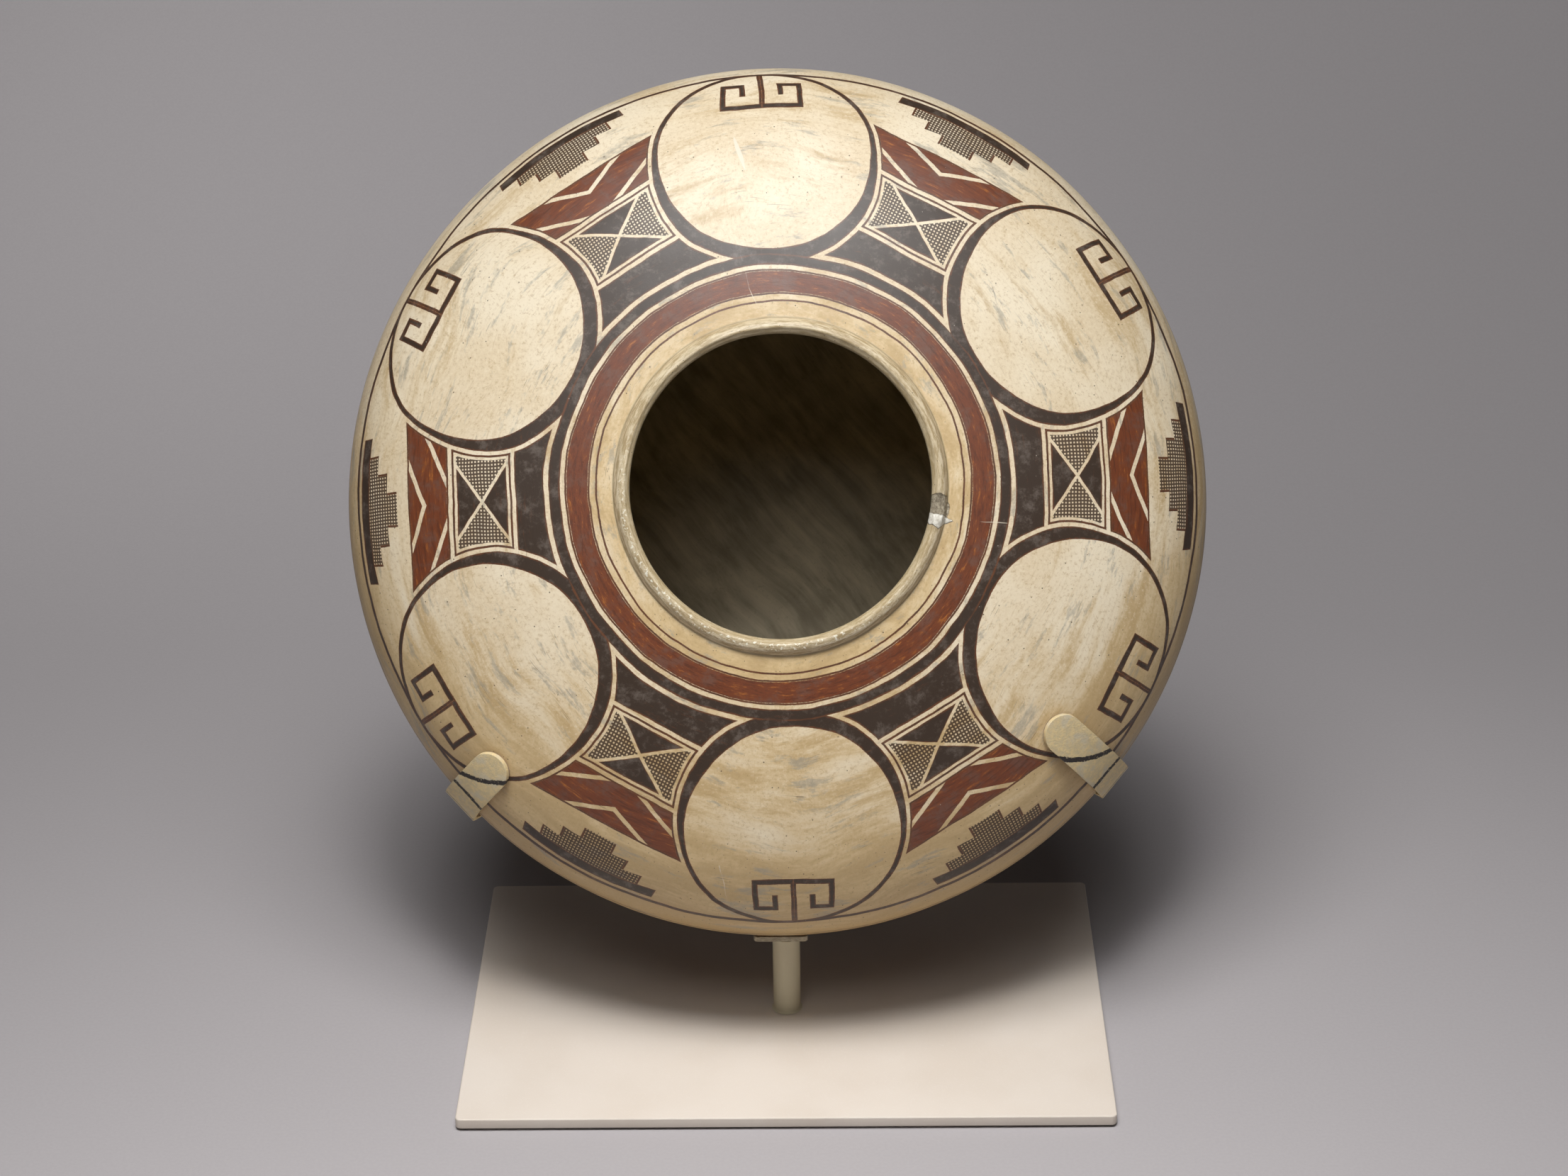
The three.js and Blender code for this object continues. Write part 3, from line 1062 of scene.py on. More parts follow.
@dataclass(frozen=True)
class LipFinish:
    """The handled lip, with the chip out of it and the white filling beside the chip. Its groove and
    the rims of the chip and the filling carry painted shade, and its crest painted glints.

    The corners of the chip and the filling are runs in millimetres and azimuths in degrees, and go
    round anticlockwise.
    """

    run: float = 70.4
    crest: Pair = (63.2, 66.6)
    tan: Colour = (0.70, 0.60, 0.42)
    grime: Colour = (0.37, 0.275, 0.145)
    inner: Colour = (0.40, 0.305, 0.165)
    # Painted shade for the groove outside the bead.
    groove: Colour = (0.27, 0.21, 0.12)
    pit: Colour = (0.06, 0.045, 0.03)
    # Whitish flakes painted on the lit crest, which stand for glints.
    flake: Colour = (0.88, 0.84, 0.70)
    chip: tuple[Pair, ...] = (
        (57.5, -11.0), (71.2, -11.2), (71.5, -7.0), (69.7, -4.0), (63, -3.4), (57.5, -5.0),
    )
    clay_dark: Colour = (0.24, 0.195, 0.13)
    clay_light: Colour = (0.52, 0.45, 0.325)
    # Dark rim round the chip: painted shade at its broken edge.
    chip_edge_shade: Colour = (0.10, 0.075, 0.05)
    filling: tuple[Pair, ...] = (
        (58.2, -10.6), (58.8, -14.2), (66.5, -15.7), (74.2, -12.0), (70.5, -10.8),
    )
    white_dull: Colour = (0.50, 0.46, 0.38)
    white: Colour = (0.80, 0.77, 0.68)
    # Dark rim round the filling: painted shade at its edge.
    filling_edge_shade: Colour = (0.16, 0.125, 0.085)

    def wear_shade_and_glints(self, sheet: Sheet, plan: Socket, streaks: Socket, colour: Socket) -> Socket:
        """The lip's handling and painted light: olive-tan with dark pits, darker towards the mouth's
        inside, painted shade in the groove, and whitish flakes on the crest, painted only at the lower
        left where the light falls, as glints.

        Args:
            sheet: The finish to add the nodes to.
            plan: Places on the plan, in millimetres.
            streaks: Coordinates that are stretched round the jar.
            colour: The colour so far.

        Returns:
            The colour with the handled lip.
        """
        run = sheet.length(plan)
        x, y, _ = sheet.split(plan)
        grime = sheet.noise(streaks, 1, 4, 0.8)
        handled = run.rise(self.run + 1.2, self.run - 0.3)
        tone = sheet.mix(grime.rise(0.40, 0.60), self.tan, self.grime)
        colour = sheet.mix(handled * 0.85, colour, tone)
        inner = run.rise(self.run - 4, self.run - 9)
        colour = sheet.mix(inner * 0.45, colour, self.inner)
        # Painted shade in the groove outside the bead.
        groove = run.between(self.run - 0.9, self.run + 1.0).rise(0, 0.9)
        colour = sheet.mix(groove * 0.55, colour, self.groove)
        pits = sheet.specks(plan, 2.3, 0.24, 0.3) * handled
        colour = sheet.mix(pits * 0.85, colour, self.pit)
        # Painted glints: whitish flakes only on the lower left of the crest, where the light falls.
        lit_low_left = (x * 0.5 + y).rise(10, -60)
        crest = run.between(*self.crest).rise(-0.6, 0.9)
        flake_glints = sheet.noise(plan, 1.5, 2, 0.6).rise(0.56, 0.62) * lit_low_left * crest
        return sheet.mix(flake_glints * 0.9, colour, self.flake)

    def repair(self, sheet: Sheet, plan: Socket, colour: Socket, height: Field) -> tuple[Socket, Field]:
        """The broken clay of the chip and the white filling beside it, each ringed with painted shade.

        Args:
            sheet: The finish to add the nodes to.
            plan: Places on the plan, in millimetres.
            colour: The colour so far.
            height: The height so far.

        Returns:
            The colour and the height with the repair.
        """
        rough = sheet.noise(plan, 1.5, 4, 0.8)
        near = sheet.vector("ADD", plan, sheet.noise_vector(plan, 2.1, 0.75))
        broken = self.patch(sheet, near, self.chip)
        clay = sheet.mix(rough.rise(0.38, 0.64), self.clay_dark, self.clay_light)
        # Painted shade round the chip's broken edge.
        colour = sheet.mix(abs(broken).rise(0.35, 0.1) * 0.8, colour, self.chip_edge_shade)
        colour = sheet.mix(broken.rise(-0.1, 0.1), colour, clay)
        filled = self.patch(sheet, near, self.filling)
        white = sheet.mix(rough.rise(0.36, 0.64), self.white_dull, self.white)
        # Painted shade round the filling's edge.
        colour = sheet.mix(abs(filled).rise(0.3, 0.1) * 0.6, colour, self.filling_edge_shade)
        colour = sheet.mix(filled.rise(-0.1, 0.1), colour, white)
        height += broken.rise(-0.3, 0.5) * (rough * 1.1 - 0.9)
        height += filled.rise(-0.1, 0.3) * 0.35
        return colour, height

    @staticmethod
    def patch(sheet: Sheet, plan: Socket, corners: Sequence[Pair]) -> Field:
        """A patch with straight sides.

        Args:
            sheet: The finish to add the nodes to.
            plan: Places on the plan, in millimetres.
            corners: The patch's corners, anticlockwise.

        Returns:
            How deep a place lies inside it.
        """
        flats = [Mark.flat(corner) for corner in corners]
        depth = None
        for one, other in zip(flats, flats[1:] + flats[:1]):
            along = (other - one).normalized()
            inward = (-along.y, along.x, 0)
            side = sheet.dot(sheet.vector("SUBTRACT", plan, tuple(one)), inward)
            depth = side if depth is None else depth.least(side)
        return depth


@dataclass(frozen=True)
class PaintedSkin:
    """The jar's outside: the slip, the painted design, the marks of age and the lip."""

    design: RoundelDesign
    slip: SlipFinish = SlipFinish()
    paint: PaintFinish = PaintFinish()
    lip: LipFinish = LipFinish()
    dark: Colour = (0.05, 0.035, 0.02)
    pale: Colour = (0.76, 0.68, 0.54)
    tremble: Pair = (7, 0.33)
    bristles: float = 0.26
    paint_edge: float = 0.07
    marks: tuple[Mark, ...] = (
        Mark(MarkKind.CRACK, (58, 94.6), (70.4, 94.9), 0.34),
        Mark(MarkKind.SCRATCH, (70.4, 94.9), (84, 98.6), 0.16),
        Mark(MarkKind.SCRATCH, (84, 98.6), (101, 99.8), 0.16),
        Mark(MarkKind.CRACK, (73, -11.9), (83, -10.9), 0.17),
        Mark(MarkKind.SCRATCH, (83, -10.9), (97, -9.6), 0.17),
        Mark(MarkKind.FLAKE, (157, 96.9), (137, 95.7), 1.1),
        Mark(MarkKind.SCRATCH, (164, -99.4), (173, -98.2), 0.18),
        Mark(MarkKind.SCRATCH, (173, -98.2), (186, -97.0), 0.15),
        Mark(MarkKind.CRACK, (120, 38), (131, 47), 0.13),
    )

    def make(self) -> bpy.types.Material:
        """Lays the slip, the paints, the marks and the lip over each other.

        Returns:
            The material.
        """
        sheet = Sheet("painted_slip")
        plan = sheet.attribute(PLAN)
        by_hand = self.design.by_hand(sheet, plan, self.tremble)
        colour, height = self.slip.colour(sheet, plan)
        black, red, hatch = self.design.draw(sheet, by_hand)
        ragged = (sheet.noise(plan, 0.9, 2, 0.5) - 0.5) * self.bristles

        strokes = self.slip.streak_place(sheet, by_hand, 13, 1.3)
        red_mask = (red + ragged).rise(-self.paint_edge, self.paint_edge)
        colour = sheet.mix(red_mask, colour, self.paint.red_colour(sheet, plan, strokes))
        colour = sheet.mix(hatch * 0.95, colour, self.paint.hatch)
        black_mask = (black + ragged).rise(-self.paint_edge, self.paint_edge)
        colour = sheet.mix(black_mask, colour, self.paint.black_colour(sheet, plan, black, strokes))
        for mark in self.marks:
            tone = self.dark if mark.kind is MarkKind.CRACK else self.pale
            strength = 1 if mark.kind is MarkKind.FLAKE else 0.7
            colour = sheet.mix(mark.draw(sheet, by_hand) * strength, colour, tone)

        colour = self.lip.wear_shade_and_glints(sheet, plan, self.slip.streak_place(sheet, plan, 16, 1.1), colour)
        colour, height = self.lip.repair(sheet, plan, colour, height)
        gloss = sheet.noise(plan, 15, 2, 0.6)
        sheet.bump(height)
        return sheet.finish(colour, 0.35 + gloss * 0.16, IOR=1.48)


@dataclass(frozen=True)
class BareClay:
    """The inside: smoke-brown clay with slanting rubbing marks."""

    dark: Colour = (0.30, 0.245, 0.15)
    light: Colour = (0.66, 0.56, 0.38)
    speck: Colour = (0.12, 0.095, 0.06)
    slant: Triple = (0.64, -0.35, -0.68)
    stretch: float = 0.88

    def make(self) -> bpy.types.Material:
        """Makes the marks of noise that is stretched along the slant.

        Returns:
            The material.
        """
        sheet = Sheet("bare_inside")
        place = sheet.object_place()
        slant = Vector(self.slant).normalized()
        along = sheet.dot(place, tuple(slant))
        across = sheet.vector("SUBTRACT", place, sheet.scaled(sheet.join(*slant), along * self.stretch))
        wavy = sheet.vector("ADD", across, sheet.noise_vector(place, 50, 5))
        rubbed = sheet.noise(wavy, 7, 4, 0.66)
        broad = sheet.noise(place, 45, 3, 0.6)
        tone = (rubbed * 0.5 + broad * 0.5).rise(0.34, 0.68)
        colour = sheet.mix(tone, self.dark, self.light)
        speck = sheet.noise(place, 1.8, 3, 0.7)
        colour = sheet.mix(speck.rise(0.55, 0.8) * 0.35, colour, self.speck)
        sheet.bump((rubbed - 0.5) * 0.35 + (speck - 0.5) * 0.06)
        return sheet.finish(colour, 0.52 + rubbed * 0.15)


@dataclass(frozen=True)
class BakeRoom:
    """A round room on the bake's map."""

    centre: Pair
    radius: float

    def at(self, way: Vector, share: float) -> Vector:
        """The place in a direction, at a share of the room's radius."""
        return Vector(self.centre) + way.normalized() * (self.radius * share)


@dataclass
class SeedJar:
    """The jar itself: one hollow piece with its lip.

    The wobble is what the hands left: how far it moves the skin and how long its waves are.
    """

    shape: JarShape
    seat: JarSeat
    skin: PaintedSkin
    clay: BareClay
    turns: int = 360
    body_steps: int = 64
    lip_steps: int = 4
    wobble: float = 0.28
    wobble_grain: float = 62
    wobble_flatness: float = 2.2
    lip_wobble: float = 0.3
    lip_rise_grain: float = 19
    lip_sway_grain: float = 27
    lip_sway_shift: Triple = (9, 4, 2)
    chip_azimuth: float = -8.2
    chip_centre: Pair = (68.0, 76.2)
    chip_half: Triple = (6.6, 5.2, 3.1)
    chip_rough: float = 0.4
    chip_grain: float = 1.7
    top_room: BakeRoom = BakeRoom((0.402, 0.402), 0.398)
    belly_room: BakeRoom = BakeRoom((0.813, 0.813), 0.183)
    inside_room: BakeRoom = BakeRoom((0.868, 0.132), 0.128)
    inside_length: float = 470
    room_overlap: float = 8
    room_spare: float = 14
    belly_spare: float = 6

    def build(self) -> bpy.types.Object:
        """Turns the section into the jar, works it by hand and dresses it.

        Returns:
            The jar.
        """
        section, neck, lip_edge = self.section()
        runs = self.runs_of(section, neck)
        bm = bmesh.new()
        station = bm.verts.layers.float.new("station")
        verts = [bm.verts.new((r, 0, h)) for r, h in section]
        for i, vert in enumerate(verts):
            vert[station] = i
        spin_round(bm, verts, self.turns)

        plan = bm.verts.layers.float_vector.new(PLAN)
        bake = bm.loops.layers.uv.new("OFBake")
        for vert in bm.verts:
            azimuth = math.atan2(vert.co.y, vert.co.x)
            run = runs[round(vert[station])]
            vert[plan] = (run * math.cos(azimuth), run * math.sin(azimuth), 0)
        for face in bm.faces:
            inside = max(vert[station] for vert in face.verts) > lip_edge
            face.material_index = int(inside)
            self.lay_bake(face, (bake, plan, station), inside, runs)
        for vert in bm.verts:
            vert.co = self.seat.place(self.worked(vert.co))
        bm.verts.layers.float.remove(station)
        return finished(bm, "painted_jar", ["jar"], [self.skin.make(), self.clay.make()])

    def section(self) -> tuple[list[Pair], int, int]:
        """The jar's section, from the middle of the foot round the lip to the middle of the inside.

        Returns:
            Its points as radius and height, the number of the neck's point, and the number of the
            lip's innermost point.
        """
        rim = self.shape.foot_rim
        flat = self.shape.foot_radius - rim
        floor = -self.shape.foot_depth
        foot = [
            (0.0, self.shape.foot_hollow + floor),
            (flat * 0.5, self.shape.foot_hollow + floor),
            (flat, self.shape.foot_hollow + floor),
            (flat + rim * 0.4, 0.3 + floor),
            (flat + rim * 0.75, 0.02 + floor),
        ]
        body = foot + self.shape.body_line(self.body_steps)
        lip = self.shape.lip_line(self.lip_steps)
        inner = self.shape.inner_line(self.body_steps // 2)
        innermost = min(range(len(lip)), key=lambda i: lip[i][0])
        return body + lip + inner, len(body) - 1, len(body) + innermost

    def runs_of(self, section: Sequence[Pair], neck: int) -> list[float]:
        """The run of each point of the section: the neck's is its radius.

        Args:
            section: The points as radius and height.
            neck: The number of the neck's point.

        Returns:
            The runs.
        """
        runs = [0.0] * len(section)
        runs[neck] = self.shape.neck_radius
        for i in range(neck - 1, -1, -1):
            runs[i] = runs[i + 1] + math.dist(section[i], section[i + 1])
        for i in range(neck + 1, len(section)):
            runs[i] = runs[i - 1] - math.dist(section[i], section[i - 1])
        return runs

    def lay_bake(self, face: bmesh.types.BMFace, layers: tuple[object, object, object], inside: bool,
                 runs: Sequence[float]) -> None:
        """Places a face on the bake's map, where the painted top has the largest room.

        Args:
            face: The face.
            layers: The layers of the map, of places on the plan and of places along the section.
            inside: Whether the face is on the jar's inside.
            runs: The run of each place along the section.
        """
        bake, plan, station = layers
        widest = self.seat.run_of(self.seat.widest_length)
        nearest = min(runs[round(vert[station])] for vert in face.verts)
        for loop in face.loops:
            way = Vector(loop.vert[plan]).to_2d()
            run = runs[round(loop.vert[station])]
            if inside:
                where = self.inside_room.at(way, (run - runs[-1]) / self.inside_length)
            elif nearest < widest + self.room_overlap:
                where = self.top_room.at(way, run / (widest + self.room_spare))
            else:
                where = self.belly_room.at(way, (runs[0] - run) / (runs[0] - widest - self.belly_spare))
            loop[bake].uv = where

    def worked(self, place: Vector) -> Vector:
        """A point of the ideal jar as the hands and the years left it.

        Args:
            place: The point, in the jar's frame.

        Returns:
            Where it is now.
        """
        moved = self.shape.hand_built(place)
        outward = Vector((place.x, place.y, place.z * self.wobble_flatness)).normalized()
        moved += outward * (self.wobble * noise.noise(place / self.wobble_grain))
        near_lip = smooth_step(self.shape.neck_height - 1, self.shape.lip_height - 2, place.z)
        if near_lip and place.xy.length < self.shape.neck_radius + 1:
            flat = Vector((place.x, place.y, 0))
            reach = near_lip * self.lip_wobble
            moved.z += reach * noise.noise(flat / self.lip_rise_grain)
            sway = noise.noise(flat / self.lip_sway_grain + Vector(self.lip_sway_shift))
            moved += flat.normalized() * (reach * sway)
        return self.chipped(moved)

    def chipped(self, place: Vector) -> Vector:
        """Lowers a point of the lip that the chip has taken away.

        Args:
            place: The point, in the jar's frame.

        Returns:
            The point, lowered where it is in the chip.
        """
        azimuth = math.radians(self.chip_azimuth)
        outwards = Vector((math.cos(azimuth), math.sin(azimuth), 0))
        radius, height = self.chip_centre
        away = place - outwards * radius - Vector((self.shape.mouth_lean, 0, height))
        out = away.x * outwards.x + away.y * outwards.y
        side = away.y * outwards.x - away.x * outwards.y
        along, across, deep = self.chip_half
        room = 1 - (side / along) ** 2 - (out / across) ** 2
        if room <= 0 or place.z < height - 2 * deep:
            return place
        floor = height - deep * math.sqrt(room)
        rough = self.chip_rough * noise.noise(place / self.chip_grain) * min(1, room * 4)
        return Vector((place.x, place.y, min(place.z, floor + rough)))


@dataclass(frozen=True)
class StandPaint:
    """Matt warm off-white paint on steel: cloudy, finely stippled and a little dusty."""

    name: str
    tone: Colour = (0.69, 0.615, 0.54)
    deeper: Colour = (0.655, 0.575, 0.495)
    dust: Colour = (0.76, 0.71, 0.65)
    cloud_grain: float = 55
    stipple_grain: float = 0.7

    def make(self) -> bpy.types.Material:
        """Mixes the paint's three tones.

        Returns:
            The material.
        """
        sheet = Sheet(self.name)
        place = sheet.object_place()
        broad = sheet.noise(place, self.cloud_grain, 3, 0.5)
        colour = sheet.mix(broad.rise(0.35, 0.7), self.tone, self.deeper)
        stipple = sheet.noise(place, self.stipple_grain, 2, 0.6)
        colour = sheet.mix(stipple.rise(0.5, 0.8) * 0.25, colour, self.dust)
        colour = sheet.mix(sheet.specks(place, 14, 0.35, 0.12) * 0.5, colour, self.dust)
        sheet.bump((stipple - 0.5) * 0.03 + (broad - 0.5) * 0.05)
        return sheet.finish(colour, 0.5 + stipple * 0.16)


@dataclass(frozen=True)
class BrushedPaint:
    """Thick brushed touch-up paint, as on the shelf's front and on the hub."""

    pale: Colour = (0.60, 0.54, 0.41)
    dark: Colour = (0.30, 0.25, 0.165)
    brush_stretch: Triple = (0.5, 1.6, 1.6)
    bristle_grain: float = 1.1

    def make(self) -> bpy.types.Material:
        """Draws the brush's strokes out across the stand.

        Returns:
            The material.
        """
        sheet = Sheet("brushed_paint")
        place = sheet.object_place()
        strokes = sheet.vector("MULTIPLY", place, self.brush_stretch)
        bristles = sheet.noise(strokes, self.bristle_grain, 4, 0.65)
        broad = sheet.noise(place, 9, 3, 0.6)
        colour = sheet.mix((bristles * 0.6 + broad * 0.4).rise(0.36, 0.66), self.dark, self.pale)
        sheet.bump((bristles - 0.5) * 0.3)
        return sheet.finish(colour, 0.6 + bristles * 0.12)


@dataclass(frozen=True)
class InPainting:
    """The clips' paint: a dull greenish cream that takes the jar's design across them by brush."""

    ground: Colour = (0.64, 0.52, 0.31)
    yellow: Colour = (0.76, 0.595, 0.315)
    grey: Colour = (0.60, 0.535, 0.405)
    stroke: Colour = (0.030, 0.024, 0.022)
    red: Colour = (0.19, 0.055, 0.03)
    dab_stretch: Triple = (1.3, 0.6, 1.3)
    tremble: Pair = (3.2, 0.5)
    past_design: float = 2

    def make(self, design: RoundelDesign) -> bpy.types.Material:
        """Lays the design over the dabbed ground, ragged and dry.

        Args:
            design: The jar's design. Past its last line the clips are only painted plain.

        Returns:
            The material.
        """
        sheet = Sheet("clip_in_painting")
        plan = sheet.attribute(PLAN)
        place = sheet.object_place()
        dab = sheet.noise(sheet.vector("MULTIPLY", place, self.dab_stretch), 2.6, 5, 0.8)
        cool = sheet.noise(place, 7, 2, 0.5)
        colour = sheet.mix(dab.rise(0.42, 0.6), self.ground, self.yellow)
        colour = sheet.mix(cool.rise(0.5, 0.7) * 0.7, colour, self.grey)
        black, red, hatch = design.draw(sheet, design.by_hand(sheet, plan, self.tremble))
        bristle = sheet.noise(place, 0.75, 3, 0.7) - 0.5
        last_run = design.frame_line[1] + self.past_design
        shown = sheet.length(plan).rise(last_run + 1, last_run)
        dry = sheet.noise(place, 1.2, 3, 0.7).rise(0.68, 0.6)
        colour = sheet.mix((red + bristle * 1.4).rise(-0.1, 0.25) * shown, colour, self.red)
        colour = sheet.mix(hatch * shown * 0.7, colour, self.stroke)
        colour = sheet.mix((black + bristle * 1.6).rise(-0.1, 0.2) * shown * dry, colour, self.stroke)
        sheet.bump((dab - 0.5) * 0.25 + (bristle * 0.18))
        return sheet.finish(colour, 0.58 + dab * 0.1)


@dataclass(frozen=True)
class FeltFinish:
    """Thin pressed felt: a dull matted nap with tufts in it."""

    name: str
    tone: Colour
    light: Colour
    nap_grain: float = 0.55
    tuft_grain: float = 3.5

    def make(self) -> bpy.types.Material:
        """Mats the nap.

        Returns:
            The material.
        """
        sheet = Sheet(self.name)
        place = sheet.object_place()
        nap = sheet.noise(place, self.nap_grain, 4, 0.75)
        tufts = sheet.noise(place, self.tuft_grain, 3, 0.6)
        colour = sheet.mix((nap * 0.6 + tufts * 0.4).rise(0.35, 0.7), self.tone, self.light)
        sheet.bump((nap - 0.5) * 0.35)
        return sheet.finish(colour, 0.93, Sheen_Weight=0.25)


@dataclass
class Strap:
    """A flat steel bar bent along stations on the jar's skin, or its thinner lining.

    Its lift is the gap between it and the skin, and its start the length from the jar's foot at
    which the stations begin. Angles are degrees.
    """

    width: float
    thick: float
    lift: float
    start: float
    round_end: bool
    trim: float = 0
    edge: float = 0.35
    edge_steps: int = 3
    corner: float = 2
    across_steps: int = 6
    step: float = 2
    end_steps: int = 12
    end_turn: float = 86
    rim_angle: float = 50

    def build(self, seat: JarSeat, stations: Sequence[Station]) -> bmesh.types.BMesh:
        """Makes the bar as a flat grid, bends it along the stations, thickens it and eases its edges.

        Args:
            seat: Where the jar stands.
            stations: The line that it follows, a millimetre apart.

        Returns:
            The bar, in the row's frame and in millimetres.
        """
        end = self.width / 2 if self.round_end else self.corner
        straight_length = len(stations) - 1 - 2 * self.trim - end
        straight_rows = round(straight_length / self.step)
        rows = straight_rows + self.end_steps
        bm = bmesh.new()
        plan = bm.verts.layers.float_vector.new(PLAN)
        bmesh.ops.create_grid(bm, x_segments=self.across_steps, y_segments=rows, size=1)
        for vert in bm.verts:
            row = (vert.co.y + 1) / 2 * rows
            turn = math.radians(self.end_turn) * max(0.0, (row - straight_rows) / self.end_steps)
            at = straight_length * min(1.0, row / straight_rows) + end * math.sin(turn) + self.trim
            half = self.width / 2 - end * (1 - math.cos(turn))
            point, along, normal = self.between(stations, at)
            side = along.cross(normal).normalized()
            skin = point + side * (vert.co.x * half)
            vert[plan] = self.plan_of(seat, skin, at)
            vert.co = skin + normal * self.lift
        self.thicken(bm)
        ease(bm, sharp_edges(bm, self.rim_angle), self.edge, self.edge_steps, clamp=True)
        for vert in bm.verts:
            vert.co = seat.place(vert.co)
        return bm

    def thicken(self, bm: bmesh.types.BMesh) -> None:
        """Gives the bent grid its thickness, outwards along the normals of its faces.

        Args:
            bm: The grid, in the jar's frame.
        """
        bmesh.ops.recalc_face_normals(bm, faces=bm.faces)
        middle = bm.faces[:][len(bm.faces) // 2]
        if middle.normal.dot(middle.calc_center_median()) < 0:
            bmesh.ops.reverse_faces(bm, faces=bm.faces)
        raised = bmesh.ops.extrude_face_region(bm, geom=bm.faces[:])
        top = {item for item in raised["geom"] if isinstance(item, bmesh.types.BMVert)}
        bm.normal_update()
        moves = {}
        for vert in top:
            outer = [face.normal for face in vert.link_faces if top.issuperset(face.verts)]
            moves[vert] = sum(outer, Vector()).normalized() * self.thick
        for vert, move in moves.items():
            vert.co += move
        bmesh.ops.recalc_face_normals(bm, faces=bm.faces)

    @staticmethod
    def between(stations: Sequence[Station], at: float) -> Station:
        """The station at a length along the line.

        Args:
            stations: The line, a millimetre apart.
            at: The length.

        Returns:
            The station.
        """
        low = min(max(int(at), 0), len(stations) - 2)
        share = at - low
        point, along, normal = (one.lerp(other, share) for one, other in zip(*stations[low:low + 2]))
        return point, along.normalized(), normal.normalized()

    def plan_of(self, seat: JarSeat, skin: Vector, at: float) -> Vector:
        """Where a point on or near the skin lies on the painted design's plan.

        Args:
            seat: Where the jar stands.
            skin: The point, in the jar's frame.
            at: Its length along the bar.

        Returns:
            The place on the plan.
        """
        rise = max(skin.z, 0) / seat.shape.lip_height
        flat = Vector((skin.x - seat.shape.mouth_lean * rise**2, skin.y / seat.shape.ovality))
        run = seat.run_of(self.start + at)
        return Vector((*(flat.normalized() * run), 0))


@dataclass(frozen=True)
class ClipArm:
    """Where a side strap goes: angles in degrees, lengths in millimetres.

    It leaves the hub at an azimuth and stops on the shoulder at the tip's radius. The line of its
    slanted tab misses the jar's axis by `miss`.
    """

    name: str
    azimuth: float
    tip_radius: float
    miss: float
    slant_from: float = 20

    def route(self, seat: JarSeat, start: float) -> list[Pair]:
        """Lengths and azimuths along the arm, a millimetre apart.

        Args:
            seat: Where the jar stands.
            start: The length from the jar's foot at which it starts.

        Returns:
            The route.
        """
        azimuth = math.radians(self.azimuth)
        widest = seat.widest_length
        length = start
        route = []
        while length < widest or seat.skin(length).x > self.tip_radius:
            route.append((length, azimuth))
            radius = seat.skin(length).x
            slant = self.miss * smooth_step(widest - self.slant_from, widest, length)
            azimuth += slant / radius**2
            length += math.sqrt(1 - (slant / radius) ** 2)
        return route


